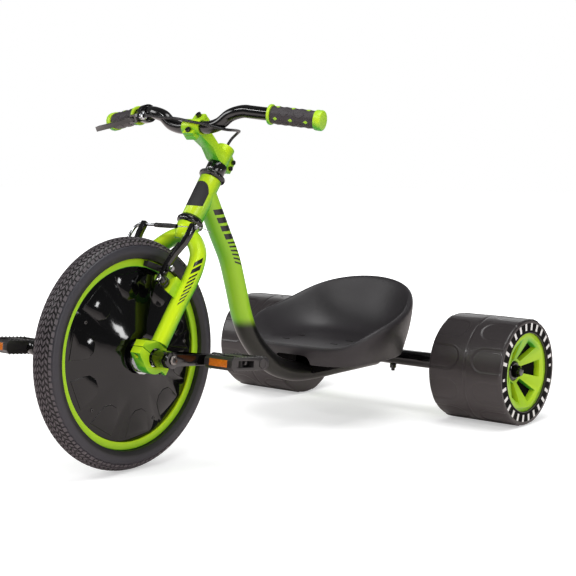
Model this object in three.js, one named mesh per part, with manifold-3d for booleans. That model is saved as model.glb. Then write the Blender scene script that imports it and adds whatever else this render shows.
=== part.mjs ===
// Drift trike: a pedalled front wheel in a tilted fork, a one-tube frame with a moulded bucket seat,
// and two wide slick rear wheels. Millimetres, +Z up, the rider faces -Y and the rider's left is +X.
// The origin lies on the ground under the middle of the trike.
import * as THREE from 'three';
import { mergeVertices } from 'three/addons/utils/BufferGeometryUtils.js';
import Module from 'manifold-3d';

const wasm = await Module();
wasm.setup();

// Driving dimensions of the whole trike
const wheelbase = 717;
const rimOuterRadius = 158.5;
const tyreHeight = 35.5;
const frontTyreRadius = rimOuterRadius + tyreHeight;
const rearTyreRadius = 102.8;
const rearTrack = 535.4;
const steeringLean = THREE.MathUtils.degToRad(36.5);

// Gaps and cutting allowances
const seatingGap = 0.3;
const runningGap = 0.4;
const cutOverrun = 3;
const mergeDistance = 0.0001;

// Front tyre and rim
const frontSides = 36;
const tyreSectionRadius = 23.5;
const tyreWall = 3.6;
const tyreBeadHalfWidth = 11;
const rimDepth = 13.2;
const rimHalfWidth = 12;
const rimWellDepth = 7;
const rimLip = 3;

// Front hub and disc covers
const hubShellRadius = 25.5;
const hubShellHalfLength = 44;
const hubCollarRadius = 30;
const hubCollarOffset = 37;
const hubFlangeRadius = 32;
const hubFlangeThickness = 3;
const hubFlangeOffset = 17;
const spokeRadius = 1.5;
const spokesPerFlange = 9;
const coverFacets = 10;
const coverRidgeAngle = THREE.MathUtils.degToRad(22);
const coverWall = 2.5;
const coverEdgeOffset = 10.2;
const coverCrownRadius = 62;
const coverCrownOffset = 25;
const coverThroatRadius = 45;
const coverThroatOffset = 30;
const coverHubOffset = 31.5;
const panelLength = 44;
const panelHalfWidth = 26;
const panelRimMargin = 10;
const panelRise = 1;

// Crank spindle, bearings and cranks
const spindleRadius = 8.5;
const spindleHalfLength = 96;
const bearingRadius = 21;
const bearingWidth = 14;
const crankLength = 113;
const crankDrop = THREE.MathUtils.degToRad(7);
const crankInnerFace = 91;
const crankThickness = 14;
const crankEyeRadius = 14.2;
const crankPedalEyeRadius = 12;
const crankBossRadius = 14;
const crankBossInnerFace = 69;
const crankBoltRadius = 4;
const crankBoltHeadRadius = 8;
const crankBoltHeadHeight = 3;
const crankBoltDepth = 10;
const pedalAxleRadius = 5.5;
const pedalAxleLength = 60;

// Pedals and reflectors
const pedalWidth = 60;
const pedalLength = 94;
const pedalThickness = 22;
const pedalCrankGap = 8;
const pedalPitch = THREE.MathUtils.degToRad(6.5);
const pedalBarrelHalfWidth = 11;
const pedalFrameWall = 9;
const pedalCornerCut = 6;
const reflectorWidth = 39;
const reflectorHeight = 12;
const reflectorDepth = 3;

// Fork
const forkLegRadius = 14.3;
const forkLegOffset = 60;
const forkBow = 2;
const forkCrownClearance = 39;
const forkSides = 12;
const forkSteps = 27;
const steererRadius = 12.7;
const steererBore = 10.4;
const crownCollarRadius = 20;
const crownCollarHeight = 17;
const clampRingRadius = 27;
const clampWidth = 21;
const clampOffset = 56.5;
const clampEarReach = 37;
const clampEarHeight = 12;
const clampLipRadius = 16;
const clampBoltOffset = 31.5;
const clampBoltHeadRadius = 4.2;
const clampBoltSeat = 9;
const clampSplit = 1.2;

// Brake bosses, arms and pads
const brakePivotOffset = 43;
const brakePivotBelowRim = 38;
const brakeBossRadius = 8;
const brakeBossFace = 38;
const brakeBossRoot = 6;
const brakeArmThickness = 9;
const brakeArmReach = 110;
const brakeArmHalfWidth = 5;
const brakeArmEyeRadius = 10;
const brakeArmLean = 14;
const brakePadInset = 8.5;
const brakePadLength = 50;
const brakePadHeight = 9;
const brakePadThickness = 10;
const brakePadClearance = 1.55;
const brakePostRadius = 3;
const brakePostNutRadius = 6;
const brakePostNutThickness = 5;
const pivotBoltHeadRadius = 7;
const pivotBoltHeadHeight = 6;
const pivotBoltRadius = 4;
const noodleRadius = 3;
const noodleNose = 26;
const bootRadius = 4.2;
const bootLength = 48;
const brakeWireRadius = 0.8;

// Headset and head tube, as distances along the steering axis from the front hub
const cupAboveCrown = 20.3;
const lowerCupHeight = 14.7;
const headTubeLength = 80.7;
const upperCupHeight = 11.7;
const locknutHeight = 19.4;
const cupRadius = 24;
const cupLipInset = 3;
const cupCoverMargin = 1;
const headTubeRadius = 19.5;
const headTubeBore = 15.5;
const locknutRadius = 17.5;

// Stem and handlebar clamp
const stemHeight = 36;
const stemClampRadius = 16;
const stemTopWall = 4;
const stemReach = 86;
const stemNeckWidth = 28;
const barAboveStemBase = 18;
const barClampHalfWidth = 19.5;
const clampEarHalfWidth = 12;
const clampEarAbove = 27;
const clampEarBelow = 20.5;
const barClampWall = 3.2;
const barClampBack = 10;
const barClampTilt = THREE.MathUtils.degToRad(10.4);
const faceEarDepth = 6.5;
const faceSplit = 1;
const faceBoltAbove = 22;
const faceBoltBelow = 15.2;
const faceBoltRadius = 2.5;
const faceBoltHeadRadius = 5;
const faceBoltHeadHeight = 4.5;
const faceBoltDepth = 8;
const pinchEarReach = 27;
const pinchEarTop = 22;
const pinchEarHalfWidth = 9;
const pinchSlot = 1.6;
const pinchBoltRadius = 2.5;
const pinchBoltHeadRadius = 4.2;
const pinchBoltHeadHeight = 3.5;
const pinchBoltReach = 20.8;
const pinchBoltRise = 7;
const pinchBoltSpacing = 13;

// Handlebar, grips and bar ends
const barRadius = 11.1;
const barHeightAboveHub = 399;
const barRise = 23;
const barForward = 11;
const barSides = 12;
const barSteps = 30;
const gripStart = 152;
const gripLength = 93;
const gripRadius = 15.5;
const gripFlangeRadius = 17.3;
const gripFlangeWidth = 6;
const gripSweep = 26;
const gripClimb = 5.5;
const gripSides = 18;
const barEndRadius = 17;
const barEndSkirt = 9;
const barEndWall = 4;

// Brake lever on the rider's right
const leverClampStation = 127;
const leverClampWidth = 14;
const leverClampRadius = 16.5;
const leverDroop = THREE.MathUtils.degToRad(52.7);
const leverPivotReach = 26;
const leverPivotRadius = 4;
const leverBodyWidth = 26;
const leverBodyHeight = 15;
const leverBladeReach = 47;
const leverBladeLength = 100;
const leverBladeThickness = 7;
const leverBladeHeight = 9;
const adjusterRadius = 4.5;
const adjusterLength = 14;
const cableRadius = 2.5;
const cableSides = 8;
const cableSteps = 50;

// Frame spine and rear axle
const spineRadius = 19.05;
const spineHeadRise = 54.7;
const railHeight = 101.5;
const railStart = 173;
const spineSides = 14;
const spineSteps = 22;
const axleTubeRadius = 15.9;
const axleTubeHalfLength = 184;
const stubAxleRadius = 8;
const stubAxleEnd = 334;
const axlePlateHalfWidth = 48;
const axlePlateForward = 42;
const axlePlateBack = 18;
const axlePlateThickness = 4;
const axleBoltOffset = 36;
const axleBoltRadius = 4;
const axleBoltHeadRadius = 7;
const axleBoltHeadHeight = 5;
const axleBoltNutHeight = 8;
const axleBoltTail = 6;

// Seat and its bracket
const seatPanHeight = 157;
const seatHalfWidth = 153;
const seatLength = 270;
const seatRise = 110;
const seatRollWidth = 12;
const seatRollDrop = 8;
const seatSkirtBulge = 5;
const seatSkirtDrop = 36.5;
const seatRearRise = 12;
const seatBaseHalfWidth = 122;
const seatBaseLength = 240;
const seatPanHalfWidth = 104;
const seatPanLength = 205;
const seatWall = 4;
const seatFrontToAxle = 290;
const seatBaseSetback = 10;
const seatPanSetback = 12;
const seatNotchHalfWidth = 40;
const seatNotchHeight = 24;
const seatNotchDepth = 30;
const seatSlotLength = 18;
const seatSlotWidth = 7;
const seatSlotOffset = 59;
const seatSlotFront = 230;
const seatSlotBack = 181;
const bracketHalfWidth = 72;
const bracketLength = 84;
const bracketThickness = 4;
const bracketWebDrop = 2.8;

// Rear wheels
const rearSides = 28;
const rearWheelWidth = 158;
const rearTyreEdge = 12;
const rearHubRadius = 75.4;
const rearHubRecess = 4;
const rearHubRimWall = 9;
const rearHubWeb = 6;
const rearDishDepth = 25;
const rearDishThickness = 12;
const rearBossRadius = 20;
const rearSpokes = 6;
const rearWindowInner = 23.5;
const rearWindowOuter = 60;
const rearWindowTurnShare = 0.5;
const rearWindowSpanShare = 0.54;
const rearWindowEndShare = 0.965;
const bushRadius = 12;
const bushFlangeRadius = 17;
const bushFlange = 3;
const axleNutRadius = 12;
const axleNutHeight = 10;

// Places worked out from the driving dimensions
const overallLength = wheelbase + frontTyreRadius + rearTyreRadius;
const frontHub = new THREE.Vector3(0, frontTyreRadius - overallLength / 2, frontTyreRadius);
const rearAxleY = overallLength / 2 - rearTyreRadius;
const forkCrownHeight = frontTyreRadius + forkCrownClearance;
const brakePivotHeight = rimOuterRadius - brakePivotBelowRim;
const brakePadRadius = rimOuterRadius - brakePadInset;
const lowerCupBase = forkCrownHeight + cupAboveCrown;
const headTubeBase = lowerCupBase + lowerCupHeight + seatingGap;
const spineHeadStation = headTubeBase + spineHeadRise;
const headTubeTop = headTubeBase + headTubeLength;
const upperCupBase = headTubeTop + seatingGap;
const locknutBase = upperCupBase + upperCupHeight + seatingGap;
const stemBase = locknutBase + locknutHeight + seatingGap;
const stemTop = stemBase + stemHeight;

// Finishes
const finish = (color, roughness, metalness) => new THREE.MeshStandardMaterial({ color, roughness,
  metalness });
const limePaint = finish('#b4dc28', 0.3, 0.05);
const limePlastic = finish('#b2da2e', 0.42, 0);
const blackPaint = finish('#1c1b1d', 0.35, 0.1);
const glossPlastic = finish('#0d0d0f', 0.12, 0);
const satinPlastic = finish('#3e3a3c', 0.5, 0);
const tyreRubber = finish('#3a3a40', 0.75, 0);
const rollerPlastic = finish('#3b3636', 0.55, 0);
const gripRubber = finish('#3b373b', 0.8, 0);
const cableRubber = finish('#1d1c1e', 0.5, 0);
const chromeSteel = finish('#c9cbce', 0.22, 1);
const blackSteel = finish('#1a1a1c', 0.4, 0.6);
const pedalPlastic = finish('#2a2829', 0.55, 0);
const amberLens = finish('#e0791c', 0.25, 0);

// Solids

/** A closed body with shared corners, no flat triangles, and its faces pointing out. */
function closed(geometry) {
  const bare = geometry.clone();
  bare.deleteAttribute('normal');
  bare.deleteAttribute('uv');
  const merged = mergeVertices(bare, mergeDistance);
  const corners = [];
  for (let i = 0; i < merged.index.count; i += 3) {
    const [a, b, c] = [0, 1, 2].map((k) => merged.index.getX(i + k));
    if (a !== b && b !== c && c !== a) corners.push(a, b, c);
  }
  const inward = signedVolume(merged, corners) < 0;
  if (inward) corners.reverse();
  merged.setIndex(corners);
  return merged;
}

function signedVolume(geometry, corners) {
  const place = geometry.getAttribute('position');
  const [a, b, c] = [new THREE.Vector3(), new THREE.Vector3(), new THREE.Vector3()];
  let volume = 0;
  for (let i = 0; i < corners.length; i += 3) {
    a.fromBufferAttribute(place, corners[i]);
    b.fromBufferAttribute(place, corners[i + 1]);
    c.fromBufferAttribute(place, corners[i + 2]);
    volume += a.dot(b.cross(c));
  }
  return volume;
}

function solidOf(geometry) {
  const body = closed(geometry);
  const vertProperties = new Float32Array(body.getAttribute('position').array);
  const triVerts = new Uint32Array(body.index.array);
  return new wasm.Manifold(new wasm.Mesh({ numProp: 3, vertProperties, triVerts }));
}

function geometryOf(solid) {
  const { vertProperties, triVerts } = solid.getMesh();
  const geometry = new THREE.BufferGeometry();
  geometry.setAttribute('position', new THREE.BufferAttribute(new Float32Array(vertProperties), 3));
  geometry.setIndex(new THREE.BufferAttribute(new Uint32Array(triVerts), 1));
  return geometry;
}

function join(...geometries) {
  return geometryOf(geometries.map(solidOf).reduce((whole, solid) => whole.add(solid)));
}

function cut(geometry, ...tools) {
  return geometryOf(tools.map(solidOf).reduce((whole, tool) => whole.subtract(tool), solidOf(geometry)));
}

function common(geometry, other) {
  return geometryOf(solidOf(geometry).intersect(solidOf(other)));
}

/** A profile of [radius, height] pairs turned about Z. It closes on itself or ends on the axis. */
function spun(profile, sides, startAngle = 0) {
  const points = profile.map(([radius, height]) => new THREE.Vector2(radius, height));
  const endsOnAxis = points[0].x === 0 && points[points.length - 1].x === 0;
  if (!endsOnAxis) points.push(points[0].clone());
  return new THREE.LatheGeometry(points, sides, startAngle).rotateX(Math.PI / 2);
}

/** The same, with flats instead of corners where it crosses the row axes, at the stated radii. */
function spunOnFlats(profile, sides) {
  const stretch = 1 / Math.cos(Math.PI / sides);
  return spun(profile.map(([radius, height]) => [radius * stretch, height]), sides, Math.PI / sides);
}

function ring(outerRadius, innerRadius, low, high, sides) {
  return spun([[innerRadius, low], [outerRadius, low], [outerRadius, high], [innerRadius, high]], sides);
}

function rod(radius, low, high, sides) {
  return spun([[0, low], [radius, low], [radius, high], [0, high]], sides);
}

function block(low, high) {
  const size = high.map((value, axis) => value - low[axis]);
  const centre = high.map((value, axis) => (value + low[axis]) / 2);
  return new THREE.BoxGeometry(...size).translate(...centre);
}

/** An outline of [x, y] pairs extruded along Z. */
function prism(outline, low, high) {
  const shape = new THREE.Shape(outline.map(([x, y]) => new THREE.Vector2(x, y)));
  const geometry = new THREE.ExtrudeGeometry(shape, { depth: high - low, bevelEnabled: false });
  return geometry.translate(0, 0, low);
}

function sweep(points, radius, sides, steps) {
  const path = new THREE.CatmullRomCurve3(points, false, 'centripetal');
  const section = new THREE.Shape();
  for (let i = 0; i < sides; i += 1) {
    const angle = (i / sides) * Math.PI * 2;
    const place = [radius * Math.cos(angle), radius * Math.sin(angle)];
    if (i === 0) section.moveTo(...place);
    else section.lineTo(...place);
  }
  section.closePath();
  return new THREE.ExtrudeGeometry(section, { steps, extrudePath: path });
}

const alongX = (geometry) => geometry.rotateY(Math.PI / 2);
const alongY = (geometry) => geometry.rotateX(-Math.PI / 2);
const mirroredX = (geometry) => closed(geometry.clone().scale(-1, 1, 1));
const vector = (x, y, z) => new THREE.Vector3(x, y, z);

function arc(centreX, centreY, radius, from, to, steps) {
  return Array.from({ length: steps + 1 }, (_, i) => {
    const angle = from + ((to - from) * i) / steps;
    return [centreX + radius * Math.cos(angle), centreY + radius * Math.sin(angle)];
  });
}

function mesh(name, geometry, material) {
  const body = closed(geometry);
  body.computeVertexNormals();
  const piece = new THREE.Mesh(body, material);
  piece.name = name;
  return piece;
}

// Front wheel, about its own axle: X is the axle, the hub centre is the origin

function frontTyre() {
  const centre = frontTyreRadius - tyreSectionRadius;
  const beadRadius = rimOuterRadius + seatingGap;
  const beadAngle = Math.acos((beadRadius - centre) / tyreSectionRadius);
  const facets = 9;
  const outsideRadius = tyreSectionRadius / Math.cos(beadAngle / facets);
  const outside = arc(centre, 0, outsideRadius, -beadAngle, beadAngle, facets);
  const inside = arc(centre, 0, tyreSectionRadius - tyreWall, Math.PI / 2, -Math.PI / 2, 2);
  const profile = [
    [beadRadius, -tyreBeadHalfWidth], ...outside, [beadRadius, tyreBeadHalfWidth],
    [beadRadius, tyreBeadHalfWidth - tyreWall], ...inside, [beadRadius, tyreWall - tyreBeadHalfWidth],
  ];
  return alongX(spunOnFlats(profile, frontSides));
}

function frontRim() {
  const inner = rimOuterRadius - rimDepth;
  const wellHalfWidth = rimHalfWidth - rimLip;
  const wellFloor = rimOuterRadius - rimWellDepth;
  const profile = [
    [inner, -rimHalfWidth], [inner, rimHalfWidth], [rimOuterRadius, rimHalfWidth],
    [rimOuterRadius, wellHalfWidth], [wellFloor, wellHalfWidth], [wellFloor, -wellHalfWidth],
    [rimOuterRadius, -wellHalfWidth], [rimOuterRadius, -rimHalfWidth],
  ];
  return alongX(spunOnFlats(profile, frontSides));
}

function frontHubShell() {
  const bore = spindleRadius + runningGap;
  const half = [
    [bore, hubShellHalfLength], [hubShellRadius, hubShellHalfLength],
    [hubShellRadius, hubCollarOffset + hubFlangeThickness],
    [hubCollarRadius, hubCollarOffset + hubFlangeThickness],
    [hubCollarRadius, hubCollarOffset], [hubShellRadius, hubCollarOffset],
    [hubShellRadius, hubFlangeOffset + hubFlangeThickness],
    [hubFlangeRadius, hubFlangeOffset + hubFlangeThickness / 2],
    [hubShellRadius, hubFlangeOffset],
  ];
  const mirrored = half.map(([radius, offset]) => [radius, -offset]).reverse();
  const shell = alongX(spun([...half, ...mirrored], 16));
  const rimInner = rimOuterRadius - rimDepth - seatingGap;
  const root = hubFlangeRadius - hubFlangeThickness;
  const middle = hubFlangeOffset + hubFlangeThickness / 2;
  const spokes = [];
  for (const side of [-1, 1]) {
    for (let i = 0; i < spokesPerFlange; i += 1) {
      const angle = ((i + (side + 1) / 4) / spokesPerFlange) * Math.PI * 2;
      const lean = Math.atan2(-side * (middle - spokeRadius), rimInner - root);
      const spoke = rod(spokeRadius, 0, (rimInner - root) / Math.cos(lean), 4);
      spoke.rotateY(lean).translate(side * middle, 0, root).rotateX(angle);
      spokes.push(spoke);
    }
  }
  return join(shell, ...spokes);
}

/** The cover on the +X side of the wheel: ten flat facets from rim to hub, each with a raised panel. */
function discCover() {
  const edgeRadius = rimOuterRadius - rimDepth - seatingGap;
  const facetStretch = 1 / Math.cos(Math.PI / coverFacets);
  const slope = (coverCrownOffset - coverEdgeOffset) / (edgeRadius - coverCrownRadius);
  const skirtRadius = edgeRadius * facetStretch + cutOverrun;
  const skirtOffset = coverCrownOffset - slope * (skirtRadius - coverCrownRadius);
  const hole = (hubShellRadius + seatingGap) * facetStretch;
  const profile = [
    [skirtRadius, skirtOffset], [coverCrownRadius, coverCrownOffset],
    [coverThroatRadius, coverThroatOffset],
    [hole, coverHubOffset], [hole, coverHubOffset - coverWall],
    [coverThroatRadius, coverThroatOffset - coverWall], [coverCrownRadius, coverCrownOffset - coverWall],
    [skirtRadius, skirtOffset - coverWall],
  ];
  const cone = spun(profile, coverFacets);
  const facetSlope = Math.atan(slope * facetStretch);
  const panelMiddle = edgeRadius - panelRimMargin - panelLength / 2;
  const panelHeight = coverCrownOffset - slope * (panelMiddle * facetStretch - coverCrownRadius);
  const halfLength = panelLength / 2;
  const outline = [
    [halfLength, -panelHalfWidth], [halfLength, panelHalfWidth],
    ...arc(0, 0, halfLength, Math.PI / 2, (Math.PI * 3) / 2, 5),
  ];
  const panels = [];
  for (let i = 0; i < coverFacets; i += 1) {
    const panel = prism(outline, -coverWall / 2, panelRise);
    panel.rotateY(facetSlope).translate(panelMiddle, 0, panelHeight);
    panels.push(panel.rotateZ(((i + 0.5) / coverFacets) * Math.PI * 2 + Math.PI / 2));
  }
  const trimmer = spunOnFlats([[0, 0], [edgeRadius, 0], [edgeRadius, hubShellHalfLength],
    [0, hubShellHalfLength]],
    frontSides);
  const turned = join(cone, ...panels).rotateZ(Math.PI / 2 + coverRidgeAngle);
  return alongX(common(turned, trimmer));
}

// Pedal drive

function spindle() {
  const threads = [-1, 1].map((side) => alongX(rod(crankBoltRadius + seatingGap,
    Math.min(side * (spindleHalfLength - crankBoltDepth - seatingGap),
      side * (spindleHalfLength + cutOverrun)),
    Math.max(side * (spindleHalfLength - crankBoltDepth - seatingGap),
      side * (spindleHalfLength + cutOverrun)), 8)));
  return cut(alongX(rod(spindleRadius, -spindleHalfLength, spindleHalfLength, 16)), ...threads);
}

/** The left crank's bolt, screwed into the end of the spindle. */
function crankBolt() {
  const face = crankInnerFace + crankThickness + seatingGap;
  const tip = spindleHalfLength - crankBoltDepth;
  return alongX(spun([[0, tip], [crankBoltRadius, tip], [crankBoltRadius, face],
    [crankBoltHeadRadius, face],
    [crankBoltHeadRadius, face + crankBoltHeadHeight], [0, face + crankBoltHeadHeight]], 8));
}

/** A left crank lying along +Y, with its pedal axle. */
function crank() {
  const outerFace = crankInnerFace + crankThickness;
  const eye = alongX(rod(crankEyeRadius, crankInnerFace, outerFace, 20));
  const boss = alongX(rod(crankBossRadius, crankBossInnerFace, crankInnerFace + seatingGap, 20));
  const tip = alongX(rod(crankPedalEyeRadius, crankInnerFace, outerFace, 16)).translate(0, crankLength, 0);
  const rootHalf = crankPedalEyeRadius * 0.85;
  const tipHalf = crankPedalEyeRadius * 0.7;
  const arm = prism([[0, -rootHalf], [crankLength, -tipHalf], [crankLength, tipHalf], [0, rootHalf]], 0,
    crankThickness);
  arm.rotateZ(Math.PI / 2).rotateY(Math.PI / 2).translate(crankInnerFace, 0, 0);
  const axle = alongX(rod(pedalAxleRadius, crankInnerFace, outerFace + pedalAxleLength, 12));
  axle.translate(0, crankLength, 0);
  const bore = alongX(rod(spindleRadius + seatingGap, crankBossInnerFace - cutOverrun,
    spindleHalfLength + seatingGap, 16));
  const boltHole = alongX(rod(crankBoltRadius + seatingGap, crankBossInnerFace, outerFace + cutOverrun, 8));
  return cut(join(eye, boss, tip, arm, axle), bore, boltHole);
}

/** A left pedal about its own axle: X is the axle, Y is the length of the platform. */
function pedal() {
  const inner = crankInnerFace + crankThickness + pedalCrankGap;
  const outer = inner + pedalWidth;
  const half = pedalLength / 2;
  const thick = pedalThickness / 2;
  const outline = [
    [-half, -thick + pedalCornerCut], [-half + pedalCornerCut, -thick], [half - pedalCornerCut, -thick],
    [half, -thick + pedalCornerCut], [half, thick - pedalCornerCut], [half - pedalCornerCut, thick],
    [-half + pedalCornerCut, thick], [-half, thick - pedalCornerCut],
  ];
  const body = prism(outline, inner, outer).rotateZ(Math.PI / 2).rotateY(Math.PI / 2);
  const windows = [-1, 1].map((side) => block(
    [inner + pedalFrameWall, Math.min(side * pedalBarrelHalfWidth, side * (half - pedalFrameWall)),
      -pedalThickness],
    [outer - pedalFrameWall, Math.max(side * pedalBarrelHalfWidth, side * (half - pedalFrameWall)),
      pedalThickness],
  ));
  const sideWindow = block([outer - pedalFrameWall - cutOverrun, -half * 0.64, -thick / 2],
    [outer + cutOverrun, half * 0.17, thick / 2]);
  const pockets = [-1, 1].map((side) => block(...reflectorBox(side, seatingGap, cutOverrun)));
  const bore = alongX(rod(pedalAxleRadius + runningGap, inner - cutOverrun,
    inner - pedalCrankGap + pedalAxleLength + runningGap, 12));
  return cut(body, ...windows, sideWindow, ...pockets, bore);
}

function reflectorBox(side, grow, proud) {
  const middle = crankInnerFace + crankThickness + pedalCrankGap + pedalWidth / 2;
  const face = pedalLength / 2;
  const deep = side * (face - reflectorDepth - grow);
  const out = side * (face + proud);
  return [
    [middle - reflectorWidth / 2 - grow, Math.min(deep, out), -reflectorHeight / 2 - grow],
    [middle + reflectorWidth / 2 + grow, Math.max(deep, out), reflectorHeight / 2 + grow],
  ];
}

// Fork, in the steering frame: Z is the steering axis, X the hub axle, the hub centre is the origin

function forkArch() {
  const top = forkCrownHeight;
  const bowHeight = top * 0.61;
  const half = [
    [forkLegOffset, clampRingRadius - cutOverrun], [forkLegOffset, top * 0.25], [forkLegOffset, top * 0.45],
    [forkLegOffset + forkBow, bowHeight], [forkLegOffset, top * 0.74], [forkLegOffset * 0.87, top * 0.85],
    [forkLegOffset * 0.62, top * 0.93], [forkLegOffset * 0.32, top * 0.985],
  ];
  const leftSide = half.map(([x, z]) => vector(x, 0, z));
  const rightSide = half.map(([x, z]) => vector(-x, 0, z)).reverse();
  return sweep([...leftSide, vector(0, 0, top), ...rightSide], forkLegRadius, forkSides, forkSteps);
}

// Where the clamp's front web meets its ring, as shares of the ring's radius
const clampWebShare = [0.42, 0.9];

/** One half of a split ring clamp round a hub bearing, above (+1) or below (-1) the split. */
function hubClampHalf(side, offset) {
  const near = offset - clampWidth / 2;
  const far = offset + clampWidth / 2;
  const outward = Math.sign(offset);
  const open = offset - outward * (clampWidth / 2 + cutOverrun);
  const lip = offset + outward * (bearingWidth / 2 + seatingGap);
  const body = alongX(rod(clampRingRadius, near, far, 24));
  const ears = block([near, -clampEarReach, -clampEarHeight], [far, clampEarReach, clampEarHeight]);
  const [webReach, webHeight] = clampWebShare.map((share) => share * clampRingRadius);
  const web = prism([[-clampEarReach, 0], [-clampEarReach, side * clampEarHeight],
    [-webReach, side * webHeight], [0, 0]], near, far).rotateZ(Math.PI / 2).rotateY(Math.PI / 2);
  const seat = alongX(rod(bearingRadius + seatingGap, Math.min(open, lip), Math.max(open, lip), 24));
  const hole = alongX(rod(clampLipRadius, near - cutOverrun, far + cutOverrun, 20));
  const boltSeats = [-1, 1].map((end) => rod(clampBoltHeadRadius + seatingGap,
    -clampRingRadius, -clampBoltSeat, 12).translate(offset, end * clampBoltOffset, 0));
  const split = side * clampSplit / 2;
  const beyond = -side * (clampRingRadius + cutOverrun);
  const otherHalf = block(
    [near - cutOverrun, -clampEarReach - cutOverrun, Math.min(split, beyond)],
    [far + cutOverrun, clampEarReach + cutOverrun, Math.max(split, beyond)],
  );
  return cut(join(body, ears, web), seat, hole, otherHalf, ...boltSeats);
}

function brakeBoss(side) {
  const post = alongY(rod(brakeBossRadius, -brakeBossFace, -brakeBossRoot, 12));
  post.translate(side * brakePivotOffset, 0, brakePivotHeight);
  const outline = [
    [side * brakePivotOffset, brakePivotHeight - brakeBossRadius],
    [side * forkLegOffset, brakePivotHeight - brakeBossRadius * 2],
    [side * forkLegOffset, brakePivotHeight + brakeBossRadius * 2],
    [side * brakePivotOffset, brakePivotHeight + brakeBossRadius],
  ];
  const gusset = prism(outline, brakeBossRoot, brakeBossFace - brakeBossRadius).rotateX(Math.PI / 2);
  const boltHole = alongY(rod(pivotBoltRadius + seatingGap, -brakeBossFace - cutOverrun,
    -brakeBossRoot - brakeBossRadius, 8));
  boltHole.translate(side * brakePivotOffset, 0, brakePivotHeight);
  return cut(join(post, gusset), boltHole);
}

function fork() {
  const collarBase = lowerCupBase - seatingGap - crownCollarHeight;
  const collar = spun([[0, collarBase - forkLegRadius], [forkLegRadius, collarBase - forkLegRadius],
    [crownCollarRadius, collarBase + forkLegRadius / 2], [crownCollarRadius, lowerCupBase - seatingGap],
    [0, lowerCupBase - seatingGap]], 20);
  const steerer = rod(steererRadius, collarBase, stemTop - stemTopWall - seatingGap, 20);
  const bore = rod(steererBore, collarBase - forkLegRadius * 2, stemTop + cutOverrun, 14);
  const clamps = [-1, 1].map((side) => hubClampHalf(1, side * clampOffset));
  const bosses = [-1, 1].map((side) => brakeBoss(side));
  return cut(join(forkArch(), collar, steerer, ...clamps, ...bosses), bore);
}

// Headset

function lowerCup() {
  const top = lowerCupBase + lowerCupHeight;
  return spun([[steererRadius + seatingGap, lowerCupBase], [cupRadius - cupLipInset, lowerCupBase],
    [cupRadius, lowerCupBase + lowerCupHeight / 4], [cupRadius, lowerCupBase + lowerCupHeight * 0.6],
    [headTubeRadius, top], [steererRadius + seatingGap, top]], 20);
}

function upperCup() {
  const top = upperCupBase + upperCupHeight;
  return spun([[steererRadius + seatingGap, upperCupBase], [headTubeRadius, upperCupBase],
    [cupRadius, upperCupBase + upperCupHeight * 0.35], [cupRadius, upperCupBase + upperCupHeight * 0.7],
    [locknutRadius + cupCoverMargin, top], [steererRadius + seatingGap, top]], 20);
}

function locknut() {
  return ring(locknutRadius, steererRadius + seatingGap, locknutBase, locknutBase + locknutHeight, 20);
}

// Stem

/** Puts a piece drawn round the bar's axis in place: its Y is the clamp's depth and its Z the height. */
function onBarClamp(geometry) {
  return geometry.rotateX(-barClampTilt).translate(0, -stemReach, barHeightAboveHub);
}

function barClampEars(front, back) {
  return block([-clampEarHalfWidth, front, -clampEarBelow], [clampEarHalfWidth, back, clampEarAbove]);
}

function barBore() {
  return onBarClamp(alongX(rod(barRadius + seatingGap, -barClampHalfWidth - cutOverrun,
    barClampHalfWidth + cutOverrun, 20)));
}

function faceBoltHole(height) {
  const hole = alongY(rod(faceBoltRadius + seatingGap, -faceEarDepth - cutOverrun,
    faceBoltDepth + seatingGap, 8));
  return onBarClamp(hole.translate(0, 0, height));
}

function pinchBoltHeights() {
  return [stemBase + pinchBoltRise + pinchBoltSpacing, stemBase + pinchBoltRise];
}

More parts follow.
